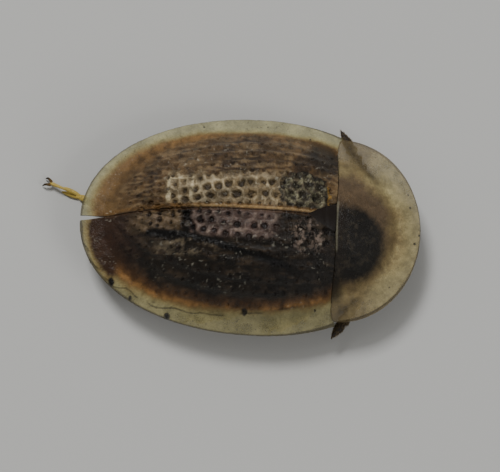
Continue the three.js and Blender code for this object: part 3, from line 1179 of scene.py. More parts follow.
# The wing cases


@dataclass(frozen=True)
class Pits:
    """The rows of pits in a wing case."""

    places: Array
    radii: Array

    def nearest(self, x: Array, y: Array) -> tuple[Array, Array, Array]:
        """Finds the pits next to each place.

        Args:
            x: Places along the plan.
            y: Places across it, on the left side.

        Returns:
            The distance to the nearest pit, to the second nearest, and the nearest one's radius.
        """
        flat = np.stack([np.ravel(x), np.ravel(y)], axis=1)
        first = np.full(len(flat), 9.0)
        second = np.full(len(flat), 9.0)
        radius = np.full(len(flat), 0.05)
        for place, size in zip(self.places, self.radii):
            away = np.hypot(flat[:, 0] - place[0], flat[:, 1] - place[1])
            closer = away < first
            second = np.where(closer, first, np.minimum(second, away))
            radius = np.where(closer, size, radius)
            first = np.where(closer, away, first)
        shape = np.shape(x)
        return first.reshape(shape), second.reshape(shape), radius.reshape(shape)


@dataclass
class WingCase:
    """One wing case: a thin dome with ribs, rows of pits, a raised net and a clear margin."""

    plan: BodyPlan
    side: Side
    gap: float = 0.009
    thickness: float = 0.15
    rim_thickness: float = 0.08
    rib_height: float = 0.03
    rib_count: int = 8
    columns: int = 416
    rows: int = 144
    coarse: int = 4

    def pits(self) -> Pits:
        """Sets the pits along the grooves between the ribs.

        Returns:
            The pits, in the plan of the left side.
        """
        rng = np.random.default_rng(11 if self.side is Side.LEFT else 23)
        places: list[tuple[float, float]] = []
        radii: list[float] = []
        t = np.linspace(0.0, 1.0, 400)
        for row in range(1, self.rib_count + 1):
            b = (row - 0.5) * self.plan.disc_edge / self.rib_count
            x, y = self.plan.wing_place(t, np.full_like(t, b), self.gap)
            run = np.concatenate([[0.0], np.cumsum(np.hypot(np.diff(x), np.diff(y)))])
            spacing = (0.23, 0.3, 0.26, 0.2)[min(row, 4) - 1] + 0.012 * max(row - 4, 0)
            marks = np.arange(0.16, run[-1] - 0.05, spacing)
            marks = marks + rng.normal(0.0, 0.022, len(marks))
            px = np.interp(marks, run, x) + rng.normal(0.0, 0.012, len(marks))
            py = np.interp(marks, run, y) + rng.normal(0.0, 0.018, len(marks))
            size = (0.07, 0.1, 0.085, 0.05)[min(row, 4) - 1] * rng.uniform(0.75, 1.15, len(marks))
            size = size * (1.0 - 0.4 * smooth(-2.2, -3.4, px))
            size = size * (1.0 if self.side is Side.LEFT else 0.82)
            places += list(zip(px, py))
            radii += list(size)
        return Pits(np.array(places), np.array(radii))

    def surface(self) -> tuple[Array, Array, dict[str, Array]]:
        """Lays out the upper sheet.

        Returns:
            The sheet's points, the lower sheet's points, and the patterns over the upper one.
        """
        t, b = shares_over(self.columns, self.rows)
        x, y = self.plan.wing_place(t, b, self.gap)
        tail = smooth(-3.3, -3.95, x)
        y = y + 0.055 * tail * np.exp(-y / 0.25)
        share = self.plan.wing_share(x, y)
        normal = slopes(self.plan.wing_top, x, y)
        first, second, radius = self.pits().nearest(x, y)
        disc = 1.0 - smooth(self.plan.disc_edge - 0.05, self.plan.disc_edge + 0.01, share)
        fade = smooth(0.0, 0.06, t) * (1.0 - smooth(0.93, 1.0, t))
        rough = grit(x, y, 0.12, 8)
        pit = (1.0 - smooth(0.45, 1.1, first / radius + 0.8 * (rough - 0.5))) * disc
        wall = (1.0 - smooth(0.0, 0.1, second - first + 0.11 * (rough - 0.5))) * disc
        rib = -np.cos(2.0 * math.pi * b * self.rib_count / self.plan.disc_edge) * disc * fade
        ends = np.interp(x, *DISC_ENDS[self.side])
        out = share - ends + 0.02 * (mottle(x, y, 0.35, 3) - 0.5) + 0.012 * (grit(x, y, 0.1, 4) - 0.5)
        marks = {"x": x, "y": y, "share": share, "pit": pit, "wall": wall, "disc": disc, "out": out}
        height = self.rib_height * rib * 0.6 - 0.05 * pit * (radius / 0.07)
        height = height + self.relief(marks) + 0.012 * (grit(x, y, 0.13, 90) - 0.5)
        height = height - 0.06 * smooth(0.975, 1.0, share) ** 2
        top = np.stack([x, y, self.plan.wing_top(x, y)], axis=-1) + normal * height[..., None]
        depth = self.thickness + (self.rim_thickness - self.thickness) * smooth(0.7, 0.9, share)
        depth = depth + 0.07 * np.exp(-(((share - 0.8) / 0.02) ** 2))
        bottom = np.stack([x, y, self.plan.wing_top(x, y)], axis=-1) - normal * depth[..., None]
        bottom[..., 1] = np.maximum(bottom[..., 1], self.gap / 2.0)
        for sheet in (top, bottom):
            sheet[..., 1] = np.maximum(sheet[..., 1], 0.3 * self.gap) * self.side.sign
        return top, bottom, marks

    def relief(self, marks: dict[str, Array]) -> Array:
        """Gives the height of the raised net, the sutural band and the fold.

        Args:
            marks: The patterns over the sheet.

        Returns:
            The extra height at each point.
        """
        x, y = marks["x"], marks["y"]
        band = 1.0 - smooth(0.07, 0.13, y)
        lift = 0.028 * band * marks["disc"]
        if self.side is Side.LEFT:
            return lift + 0.03 * marks["wall"] * self.net(x, y)
        fold = from_line(x, y, FOLD)
        crack = from_line(x, y, BREAK)
        step = -0.016 * (1.0 - smooth(0.0, 0.14, fold)) - 0.03 * (1.0 - smooth(0.0, 0.08, crack))
        return 0.4 * lift + step + 0.02 * marks["wall"] * self.net(x, y)

    def net(self, x: Array, y: Array) -> Array:
        """Says where the pale net shows.

        Args:
            x: Places along the plan.
            y: Places across it, on the left side.

        Returns:
            The net's strength.
        """
        ragged = 0.16 * (mottle(x, y, 0.3, 5) - 0.5)
        if self.side is Side.LEFT:
            main = smooth(-2.02, -1.94, x + ragged * 0.4) * (1.0 - smooth(0.7, 1.0, x))
            main = main * smooth(0.07, 0.14, y) * (1.0 - 0.75 * smooth(0.8, 1.0, y + ragged))
            outer = smooth(-2.1, -1.9, x) * (1.0 - smooth(1.5, 1.9, x)) * (1.0 - smooth(1.5, 1.9, y)) * 0.3
            oval = patch(x, y, (1.2, 0.5), (0.56, 0.5), 0.15)
            return np.maximum(np.maximum(main, outer * smooth(0.07, 0.14, y)), oval * 0.8)
        strip = smooth(-2.95, -2.4, x) * (1.0 - smooth(-1.62, -1.5, x)) * (1.0 - smooth(0.4, 0.55, y))
        zone = smooth(-1.42, -1.3, x) * (1.0 - smooth(0.35, 0.85, x)) * (1.0 - smooth(0.5, 0.75, y))
        return np.maximum(0.5 * strip, zone) * smooth(0.05, 0.1, y)

    def colours(self, marks: dict[str, Array]) -> tuple[Array, Array]:
        """Paints the upper sheet.

        Args:
            marks: The patterns over the sheet.

        Returns:
            The tint and the cover at each point.
        """
        tint = self.left_tint(marks) if self.side is Side.LEFT else self.right_tint(marks)
        x, y, share = marks["x"], marks["y"], marks["share"]
        left = self.side is Side.LEFT
        out = marks["out"]
        margin = smooth(-0.015, 0.03, out)
        calm = smooth(-2.4, -3.2, x) * 0.6
        tint = tint * (1.0 + (1.0 - calm) * (0.9 * grit(x, y, 0.2, 33) - 0.45))[..., None]
        pale = tone(158, 152, 110) if left else tone(146, 138, 98)
        pale = pale * (0.72 + 0.42 * grit(x, y, 0.3, 9))[..., None]
        pale = lay(pale, tone(124, 104, 62), (1.0 - smooth(0.0, 0.06, out)) * 0.8)
        tint = lay(tint, pale, margin)
        edge = smooth(0.975, 0.992, share)
        tint = lay(tint, tone(78, 70, 44), edge * 0.8)
        if not left:
            wavy = share - np.interp(x, *STAIN) + 0.03 * (mottle(x, y, 0.25, 49) - 0.5)
            stain = (1.0 - smooth(0.003, 0.009, np.abs(wavy))) * smooth(0.25, 0.45, mottle(x, y, 0.3, 50))
            tint = lay(tint, tone(36, 26, 14), stain * smooth(1.6, 0.8, x) * 0.6)
        for at_x, at_y, size in SPECKS[self.side]:
            away = np.hypot((x - at_x) / size, (y - at_y) / (size * 1.5)) + 0.6 * mottle(x, y, 0.05, 4)
            tint = lay(tint, tone(14, 11, 9), 1.0 - smooth(0.8, 1.2, away))
        dots = smooth(0.82, 0.9, mottle(x, y, 0.045, 31)) * smooth(0.3, 0.6, mottle(x, y, 0.5, 32))
        tint = lay(tint, tone(60, 50, 30), dots * margin * 0.5)
        glint = smooth(0.86, 0.93, mottle(x, y, 0.04, 35)) * smooth(0.45, 0.7, mottle(x, y, 0.4, 36))
        tint = lay(tint, tone(190, 186, 168), glint * (1.0 - margin) * 0.25)
        cover = 1.0 - 0.36 * smooth(-0.01, 0.08, out)
        return tint, cover

    def left_tint(self, marks: dict[str, Array]) -> Array:
        """Paints the brown left wing case.

        Args:
            marks: The patterns over the sheet.

        Returns:
            The tint at each point.
        """
        x, y, pit, wall = marks["x"], marks["y"], marks["pit"], marks["wall"]
        blotch = grit(x, y, 0.6, 12)
        tint = np.broadcast_to(tone(62, 46, 29), (*x.shape, 3)).copy()
        tint = lay(tint, tone(88, 68, 41), blotch * 0.6)
        tint = lay(tint, tone(36, 26, 17), smooth(0.5, 0.1, blotch) * 0.7)
        amber = smooth(-0.12, -0.01, marks["out"]) * (0.75 - 0.4 * smooth(-1.0, 1.0, x))
        tint = lay(tint, tone(112, 84, 48), amber)
        tint = lay(tint, tone(104, 81, 50), smooth(-2.6, -3.7, x) * 0.8)
        streak = smooth(0.45, 0.75, mottle(x / 4.0, y, 0.05, 14)) * marks["disc"]
        tint = lay(tint, tone(128, 108, 78), streak * 0.35)
        net = self.net(x, y) * (1.0 - 0.5 * smooth(0.7, 0.82, y))
        tint = lay(tint, tone(98, 84, 60), smooth(0.1, 0.75, net) * 0.85)
        worn = 0.05 + 0.95 * grit(x, y, 0.2, 16)
        tint = lay(tint, tone(158, 144, 116), wall * smooth(0.2, 0.8, net) * worn * 0.85)
        bars = np.minimum(np.abs(x + 1.9), np.abs(x + 1.36)) + 0.05 * (worn - 0.5)
        bars = np.minimum(bars, 0.02 + np.abs(y - 0.74) + 2.0 * smooth(-1.4, -1.2, x))
        near_net = smooth(0.14, 0.3, y) * (1.0 - smooth(0.74, 0.8, y)) * smooth(-2.0, -1.94, x)
        tint = lay(tint, tone(190, 176, 142), (1.0 - smooth(0.01, 0.05, bars)) * near_net * 0.7)
        tint = lay(tint, tone(26, 18, 12), pit * (0.35 + 0.4 * smooth(0.2, 0.7, net)))
        near = np.hypot((x - 1.2) / 0.55, (y - 0.5) / 0.5) + 0.25 * (grit(x, y, 0.2, 6) - 0.5)
        oval = 1.0 - smooth(0.9, 1.05, near)
        tint = lay(tint, tone(31, 28, 20), oval * (0.92 - 0.2 * wall))
        tint = lay(tint, tone(16, 13, 9), np.exp(-(((near - 0.97) / 0.08) ** 2)) * 0.85)
        speck = smooth(0.5, 0.85, grit(x, y, 0.08, 18)) * (0.4 + 0.5 * wall)
        tint = lay(tint, tone(124, 120, 94), oval * speck * 0.8)
        tint = lay(tint, tone(28, 22, 15), patch(x, y, (1.62, 1.5), (0.36, 0.52), 0.45) * 0.85)
        rim = 1.0 - smooth(0.02, 0.06, from_line(x, y, GOLD_RIM))
        tint = lay(tint, tone(132, 102, 50), rim * smooth(0.3, 0.6, grit(x, y, 0.12, 22)))
        band = 1.0 - smooth(0.09, 0.16, y)
        gold = tone(88, 64, 34) * (0.6 + 0.8 * grit(x, y, 0.4, 21))[..., None]
        tint = lay(tint, gold, band * 0.9)
        tint = lay(tint, tone(34, 22, 12), (1.0 - smooth(0.0, 0.05, y)) * 0.8)
        # Painted highlight: a pale gold line along the ridge of the sutural band, on its front part
        line = (1.0 - smooth(0.012, 0.035, np.abs(y - 0.06))) * smooth(-1.6, -1.1, x)
        return lay(tint, tone(164, 138, 96), line * 0.5)

    def right_tint(self, marks: dict[str, Array]) -> Array:
        """Paints the nearly black right wing case.

        Args:
            marks: The patterns over the sheet.

        Returns:
            The tint at each point.
        """
        x, y, pit, wall = marks["x"], marks["y"], marks["pit"], marks["wall"]
        blotch = grit(x, y, 0.6, 42)
        tint = np.broadcast_to(tone(17, 13, 10), (*x.shape, 3)).copy()
        tint = lay(tint, tone(34, 27, 19), blotch * 0.7)
        tint = lay(tint, tone(52, 34, 24), smooth(-2.2, -3.3, x) * 0.7)
        ragged = 0.04 * (grit(x, y, 0.5, 44) - 0.5)
        out = marks["out"] + 0.4 * ragged
        ahead = smooth(-3.15, -2.9, x)
        tint = lay(tint, tone(74, 51, 30), smooth(-0.1, -0.03, out) * (0.15 + 0.85 * ahead))
        tint = lay(tint, tone(136, 100, 56), np.exp(-(((out + 0.01) / 0.018) ** 2)) * ahead * 0.6)
        streak = smooth(0.55, 0.8, mottle(x / 4.0, y, 0.05, 43)) * marks["disc"]
        tint = lay(tint, tone(78, 64, 48), streak * 0.22)
        strip = smooth(-2.95, -2.4, x) * (1.0 - smooth(-1.64, -1.52, x)) * (1.0 - smooth(0.38, 0.56, y))
        tint = lay(tint, tone(88, 72, 50), strip * 0.85)
        zone = smooth(-1.42, -1.3, x) * (1.0 - smooth(0.3, 0.8, x)) * (1.0 - smooth(0.5, 0.72, y))
        tint = lay(tint, tone(72, 57, 51), zone * 0.85)
        worn = 0.3 + 0.7 * grit(x, y, 0.15, 17)
        tint = lay(tint, tone(150, 132, 118), wall * smooth(0.2, 0.8, self.net(x, y)) * 0.42 * worn)
        tint = lay(tint, tone(18, 11, 10), pit * 0.9 * np.maximum(np.maximum(strip, zone), 0.4))
        near = smooth(-2.3, -2.0, x) * (1.0 - smooth(-0.95, -0.5, x))
        near = near * patch(x, y, (-1.5, 0.84), (0.9, 0.2), 0.3)
        tint = lay(tint, tone(88, 78, 62), near * smooth(0.4, 0.8, grit(x, y, 0.2, 46)) * 0.8)
        front = patch(x, y, (1.36, 0.5), (0.42, 0.36), 0.35)
        tint = lay(tint, tone(140, 122, 108), front * smooth(0.5, 0.9, grit(x, y, 0.08, 47)) * 0.5)
        # Painted shade: black in the creases of the fold and the break, whose relief is kept shallow
        black = tone(6, 5, 5)
        wide = 0.05 * grit(x, y, 0.2, 52)
        tint = lay(tint, black, 0.95 - 0.95 * smooth(0.04, 0.13, from_line(x, y, FOLD) + wide - 0.02))
        tint = lay(tint, black, 0.9 - 0.9 * smooth(0.02, 0.08, from_line(x, y, BREAK) + wide - 0.02))
        band = 1.0 - smooth(0.02, 0.06, y)
        return lay(tint, tone(64, 44, 26), band * 0.7)

    def make(self, place: Place, finish: bpy.types.Material) -> bpy.types.Object:
        """Builds the wing case.

        Args:
            place: Carries it into the scene.
            finish: Its material.

        Returns:
            The object.
        """
        top, bottom, marks = self.surface()
        tint, cover = self.colours(marks)
        c = self.coarse
        under = bottom[::c, ::c]
        points, faces = shell(top, under)
        # Painted shade: the lower sheet takes the upper tint darkened to 0.6, as shade on the underside
        underside_shaded_tint = tint[::c, ::c].reshape(-1, 3) * 0.6
        form = Form()
        form.add(
            points,
            faces,
            np.concatenate([tint.reshape(-1, 3), underside_shaded_tint]),
            np.concatenate([cover.ravel(), cover[::c, ::c].ravel()]),
        )
        made = form.build(f"wing_case_{self.side.value}", place, finish)
        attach(made, "root")
        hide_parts(f"elytron_{self.side.value}")
        return made


# Marks that the wing cases carry, in the plan of the left side
FOLD = [(-2.3, 0.5), (-1.8, 0.57), (-1.25, 0.63), (-0.8, 0.74), (-0.32, 0.89), (0.3, 1.04), (0.86, 1.18)]
BREAK = [(-1.54, 0.03), (-1.41, 0.2), (-1.25, 0.57)]
GOLD_RIM = [(1.55, 0.06), (1.72, 0.14), (1.79, 0.3), (1.79, 0.5), (1.74, 0.68)]
DISC_ENDS = {
    Side.LEFT: (
        (-3.8, -3.4, -3.0, -2.32, -1.39, -0.23, 0.82, 1.77),
        (0.915, 0.91, 0.905, 0.885, 0.855, 0.825, 0.825, 0.87),
    ),
    Side.RIGHT: (
        (-3.8, -3.5, -3.22, -3.05, -2.37, -1.66, -1.07, 0.0, 1.15, 1.84),
        (0.935, 0.95, 0.95, 0.91, 0.875, 0.845, 0.82, 0.79, 0.785, 0.81),
    ),
}
STAIN = (
    (-3.17, -2.8, -2.41, -2.21, -1.65, -0.99, 0.0, 1.26),
    (0.985, 0.94, 0.935, 0.955, 0.893, 0.874, 0.81, 0.795),
)
SPECKS = {
    Side.LEFT: [(-1.2, 2.3, 0.02), (0.3, 2.36, 0.018), (1.3, 2.1, 0.02), (-3.0, 1.5, 0.018)],
    Side.RIGHT: [
        (-1.83, 2.24, 0.08),
        (-0.02, 2.08, 0.08),
        (-2.7, 1.86, 0.05),
        (-3.15, 1.5, 0.1),
        (1.6, 1.95, 0.03),
    ],
}


@dataclass
class Pronotum:
    """The shield over the head: a low cushion, dark in the middle, with a broad clear margin."""

    plan: BodyPlan
    thickness: float = 0.16
    rim_thickness: float = 0.08
    columns: int = 208
    rows: int = 320
    coarse: int = 4

    def make(self, place: Place, finish: bpy.types.Material) -> bpy.types.Object:
        """Builds the pronotum.

        Args:
            place: Carries it into the scene.
            finish: Its material.

        Returns:
            The object.
        """
        widest = math.asin(0.997)
        u, v = shares_over(self.columns, self.rows, -1.0)
        y = self.plan.pronotum_width / 2.0 * np.sin(widest * v)
        rear, front = self.plan.pronotum_rear(y) - 0.022, self.plan.pronotum_front(y)
        x = rear + (front - rear) * u
        share = self.plan.pronotum_share(x, y)
        normal = slopes(self.plan.pronotum_top, x, y)
        surface = np.stack([x, y, self.plan.pronotum_top(x, y)], axis=-1)
        height = 0.012 * (mottle(x, y, 0.3, 61) - 0.5) - 0.05 * smooth(0.975, 1.0, share) ** 2
        height = height + 0.035 * smooth(0.3, 0.0, x - rear) - 0.03 * smooth(0.03, 0.0, x - rear)
        dots = smooth(0.78, 0.95, mottle(x, y, 0.06, 62)) * (1.0 - smooth(0.6, 0.9, share))
        height = height - 0.012 * dots
        top = surface + normal * height[..., None]
        depth = self.thickness + (self.rim_thickness - self.thickness) * smooth(0.6, 0.85, share)
        bottom = surface - normal * depth[..., None]
        tint, cover = self.colours(x, y, share, rear)
        c = self.coarse
        points, faces = shell(top, bottom[::c, ::c])
        form = Form()
        # Painted shade: the lower sheet takes the upper tint darkened to 0.7, as shade on the underside
        form.add(
            points,
            faces,
            np.concatenate([tint.reshape(-1, 3), 0.7 * tint[::c, ::c].reshape(-1, 3)]),
            np.concatenate([cover.ravel(), cover[::c, ::c].ravel()]),
        )
        made = form.build("pronotum_shield", place, finish)
        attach(made, "root")
        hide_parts("pronotum")
        return made

    def colours(self, x: Array, y: Array, share: Array, rear: Array) -> tuple[Array, Array]:
        """Paints the pronotum.

        Args:
            x: Places along the plan.
            y: Places across it.
            share: How far out each place lies.
            rear: The hind edge at each place.

        Returns:
            The tint and the cover at each point.
        """
        blotch = grit(x, y, 0.4, 71)
        tint = np.broadcast_to(tone(152, 140, 100), (*x.shape, 3)).copy()
        tint = tint * (0.78 + 0.34 * blotch)[..., None]
        corner = smooth(3.3, 2.5, x) * smooth(0.9, 1.5, np.abs(y))
        tint = lay(tint, tone(104, 88, 60), corner * 0.75)
        # Painted shadows: two soft dark strokes where the feelers lie under the clear margin
        for line in ([(2.15, 2.1), (2.5, 1.6), (2.9, 1.15)], [(2.1, -2.1), (2.45, -1.65), (2.9, -1.2)]):
            tint = lay(tint, tone(42, 33, 22), np.exp(-((from_line(x, y, line) / 0.12) ** 2)) * 0.6)
        away = np.hypot((x - 2.0) / 1.62, (y + 0.12) / 1.58) + 0.12 * (blotch - 0.5)
        tint = lay(tint, tone(124, 108, 72), 1.0 - smooth(0.8, 1.08, away))
        tint = lay(tint, tone(84, 68, 49), 1.0 - smooth(0.66, 0.96, away))
        dark = np.hypot((x - 2.3) / 0.86, (y + 0.47) / 0.86) + 0.12 * (grit(x, y, 0.25, 72) - 0.5)
        tint = lay(tint, tone(21, 18, 15), 1.0 - smooth(0.82, 1.1, dark))
        shade = smooth(2.35, 2.05, x) * patch(x, y, (2.0, -0.7), (1.0, 1.0), 0.3)
        tint = lay(tint, tone(30, 24, 18), shade * 0.9)
        dust = smooth(0.6, 0.9, grit(x, y, 0.09, 73)) * (1.0 - smooth(0.9, 1.1, dark))
        tint = lay(tint, tone(92, 82, 64), dust * 0.16)
        tint = tint * (0.78 + 0.4 * grit(x, y, 0.12, 75))[..., None]
        line = (1.0 - smooth(0.02, 0.045, np.abs(x - rear - 0.04))) * smooth(0.6, 0.5, np.abs(y + 0.15))
        tint = lay(tint, tone(120, 116, 96), line * 0.45)
        edge = smooth(0.975, 0.992, share)
        tint = lay(tint, tone(84, 70, 42), edge * 0.7)
        joint = smooth(0.05, 0.0, x - rear) * (0.75 - 0.5 * smooth(0.9, 1.5, np.abs(y)))
        tint = lay(tint, tone(46, 34, 20), joint)
        for at_x, at_y, size in FRONT_SPECKS:
            away_from = np.hypot(x - at_x, y - at_y) / size + 0.4 * mottle(x, y, 0.03, 74)
            tint = lay(tint, tone(20, 16, 12), 1.0 - smooth(0.8, 1.2, away_from))
        cover = 1.0 - 0.36 * smooth(0.9, 1.2, away)
        return tint, cover


# Specks on the pronotum, as places along and across the plan and sizes
FRONT_SPECKS = [
    (3.71, 0.61, 0.03),
    (3.95, -0.03, 0.03),
    (3.85, -0.24, 0.035),
    (3.65, 0.92, 0.025),
    (3.3, -1.3, 0.02),
]


@dataclass
class Scutellum:
    """The small dark triangle between the bases of the wing cases."""

    plan: BodyPlan

    def make(self, place: Place, finish: bpy.types.Material) -> bpy.types.Object:
        """Builds the scutellum.

        Args:
            place: Carries it into the scene.
            finish: Its material.

        Returns:
            The object.
        """
        u, v = shares_over(40, 40, -1.0)
        x = self.plan.base_x - 0.02 - (self.plan.scutellum_length + 0.04) * u
        y = (self.plan.scutellum_half_width + 0.02) * (1.0 - 0.97 * u**1.3) * v
        crown = 0.035 * (1.0 - v**2) * (1.0 - u) - 0.03 * smooth(0.8, 1.0, np.abs(v))
        groove = -0.012 * np.exp(-(((u - 0.35) / 0.05) ** 2))
        normal = slopes(self.plan.wing_top, x, y)
        base = np.stack([x, y, self.plan.wing_top(x, y)], axis=-1)
        top = base + normal * (crown + groove)[..., None]
        bottom = base - normal * 0.16
        points, faces = shell(top, bottom[::4, ::4])
        form = Form()
        form.add(points, faces, tone(24, 18, 14))
        made = form.build("scutellum_plate", place, finish)
        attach(made, "root")
        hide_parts("scutellum")
        return made


# The trunk


@dataclass
class Trunk:
    """The body under the shields: front, middle and hind thorax, and the ringed abdomen."""

    plan: BodyPlan
    waist_x: float = -0.45
    edge_share: float = 0.765
    plates: int = 5

    def block(
        self,
        name: str,
        x_at: Array,
        half_width: Array,
        top_of: Surface,
        relief: Callable[[Array, Array], tuple[Array, Array]],
        place: Place,
        finish: bpy.types.Material,
        node: str,
    ) -> bpy.types.Object:
        """Builds one length of the trunk.

        Args:
            name: The object's name.
            x_at: The places of its columns.
            half_width: Its half width at each.
            top_of: The height of its back.
            relief: Gives how far the underside swells down, and its tint.
            place: Carries it into the scene.
            finish: Its material.
            node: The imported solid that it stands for.

        Returns:
            The object.
        """
        v = np.linspace(-math.pi / 2.0, math.pi / 2.0, 121)
        x = x_at[:, None] + 0.0 * v
        y = half_width[:, None] * np.sin(v)
        swell, tint = relief(x, y)
        side = smooth(0.9, 1.0, np.abs(np.sin(v)))[None, :] + 0.0 * x
        low = self.plan.belly(y) - swell + 0.06 * side**2
        bottom = np.stack([x, y, low], axis=-1)
        normal = slopes(top_of, x, y)
        drop = 0.24 / np.maximum(normal[..., 2], 0.35)
        high = np.maximum(top_of(x, y) - drop, low + 0.05)
        top = np.stack([x, y, high], axis=-1)
        points, faces = shell(bottom, top[::4, ::4])
        form = Form()
        low_fuzz = 0.5 * smooth(0.1, 0.5, np.abs(y)).ravel()
        form.add(
            points,
            faces,
            np.concatenate([tint.reshape(-1, 3), tint[::4, ::4].reshape(-1, 3)]),
            fuzz=np.concatenate([low_fuzz, np.zeros(top[::4, ::4, 0].size)]),
            lie=np.array([-1.0, 0.0, -0.2]),
        )
        made = form.build(name, place, finish)
        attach(made, "root")
        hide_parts(node)
        down = Bristles(length=0.07, radius=0.004, density=130.0, seed=500 + len(name), upright=0.35)
        hairs = down.grow(made, f"{name}_down", finish, tone(150, 130, 84))
        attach(hairs, "root")
        return made

    def thorax_relief(self, x: Array, y: Array) -> tuple[Array, Array]:
        """Shapes the breast: a groove on the midline, plates beside it, and the seams between them.

        Args:
            x: Places along the plan.
            y: Places across it.

        Returns:
            How far the surface swells down, and its tint.
        """
        across = np.abs(y)
        groove = np.exp(-((y / 0.05) ** 2))
        seams = from_line(x, across, [(1.85, 0.95), (1.0, 1.15), (0.0, 1.35), (-0.4, 1.5)])
        seams = np.minimum(seams, from_line(x, across, [(1.62, 0.0), (1.55, 0.5), (1.75, 0.95)]))
        seams = np.minimum(seams, from_line(x, across, [(-0.05, 0.0), (-0.12, 0.5), (-0.02, 1.3)]))
        seam = np.exp(-((seams / 0.025) ** 2))
        plate = 0.05 * (1.0 - smooth(0.3, 1.2, across)) * smooth(-0.1, 0.3, x)
        fine = 0.012 * (mottle(x, y, 0.08, 81) - 0.5)
        swell = plate + fine - 0.045 * groove * smooth(0.1, 0.3, x) - 0.035 * seam
        tint = np.broadcast_to(tone(44, 31, 21), (*x.shape, 3)).copy()
        tint = lay(tint, tone(26, 18, 13), smooth(0.4, 0.7, mottle(x, y, 0.3, 82)) * 0.7)
        tint = lay(tint, tone(110, 84, 46), smooth(1.2, 1.75, across) * 0.8)
        tint = lay(tint, tone(14, 10, 8), np.maximum(seam, groove * 0.6) * 0.8)
        return swell, tint

    def abdomen_relief(self, x: Array, y: Array) -> tuple[Array, Array]:
        """Shapes the belly plates, each lapping the next.

        Args:
            x: Places along the plan.
            y: Places across it.

        Returns:
            How far the surface swells down, and its tint.
        """
        tip = self.plan.crest_x - self.edge_share * self.plan.rear_reach
        bow = 0.1 * (y / 1.6) ** 2
        span = (self.waist_x - tip - 0.15) / self.plates
        count = (self.waist_x - (x + bow)) / span
        within = count - np.floor(count)
        lap = 0.055 * (1.0 - smooth(0.86, 1.0, within)) * smooth(0.0, 0.1, within)
        swell = lap + 0.01 * (mottle(x, y, 0.07, 84) - 0.5) + 0.04 * (1.0 - smooth(0.4, 1.4, np.abs(y)))
        dimple = np.exp(-(((np.abs(y) - 1.1) / 0.12) ** 2)) * np.exp(-(((within - 0.5) / 0.2) ** 2))
        swell = swell - 0.03 * dimple
        tint = np.broadcast_to(tone(38, 26, 18), (*x.shape, 3)).copy()
        tint = lay(tint, tone(60, 42, 26), smooth(0.45, 0.75, mottle(x, y, 0.3, 85)) * 0.7)
        out = self.plan.wing_share(x, y)
        tint = lay(tint, tone(138, 108, 60), smooth(0.56, 0.72, out) * 0.85)
        tint = lay(tint, tone(86, 62, 34), smooth(0.8, 0.9, within) * 0.6)
        tint = lay(tint, tone(12, 9, 7), smooth(0.955, 0.99, within) * 0.9)
        return swell, tint

    def make(self, place: Place, finishes: Finishes) -> list[bpy.types.Object]:
        """Builds the three lengths of the trunk.

        Args:
            place: Carries them into the scene.
            finishes: The materials.

        Returns:
            The objects.
        """
        plan, finish = self.plan, finishes.body
        x = np.linspace(plan.base_x - 0.03, self.waist_x + 0.02, 169)
        thorax = self.block(
            "breast",
            x,
            plan.wing_half_width(x, self.edge_share),
            plan.wing_top,
            self.thorax_relief,
            place,
            finish,
            "thorax",
        )
        tip = plan.crest_x - (self.edge_share - 0.002) * plan.rear_reach
        x = self.waist_x - 0.02 + (tip - self.waist_x) * np.sin(np.linspace(0, math.pi / 2, 281)) ** 0.9
        x = np.maximum(x, tip)
        abdomen = self.block(
            "belly",
            x,
            np.maximum(plan.wing_half_width(x, self.edge_share), 0.02),
            plan.wing_top,
            self.abdomen_relief,
            place,
            finish,
            "abdomen",
        )
        x = np.linspace(plan.base_x + 0.62, plan.base_x, 81)
        width = 1.3 - 0.4 * ((x - plan.base_x) / 0.6) ** 2
        front = self.block(
            "fore_breast", x, width, plan.pronotum_top, self.fore_relief, place, finish, "prothorax"
        )
        return [thorax, abdomen, front]

    def fore_relief(self, x: Array, y: Array) -> tuple[Array, Array]:
        """Shapes the front breast plate, with a spine between the front legs.

        Args:
            x: Places along the plan.
            y: Places across it.

        Returns:
            How far the surface swells down, and its tint.
        """
        spine = np.exp(-((y / 0.13) ** 2))
        swell = 0.12 * spine + 0.01 * (mottle(x, y, 0.06, 87) - 0.5) - 0.04 * smooth(0.8, 1.2, np.abs(y))
        tint = np.broadcast_to(tone(52, 38, 24), (*x.shape, 3)).copy()
        tint = lay(tint, tone(120, 94, 52), smooth(0.7, 1.2, np.abs(y)) * 0.8)
        return swell, tint


# The head


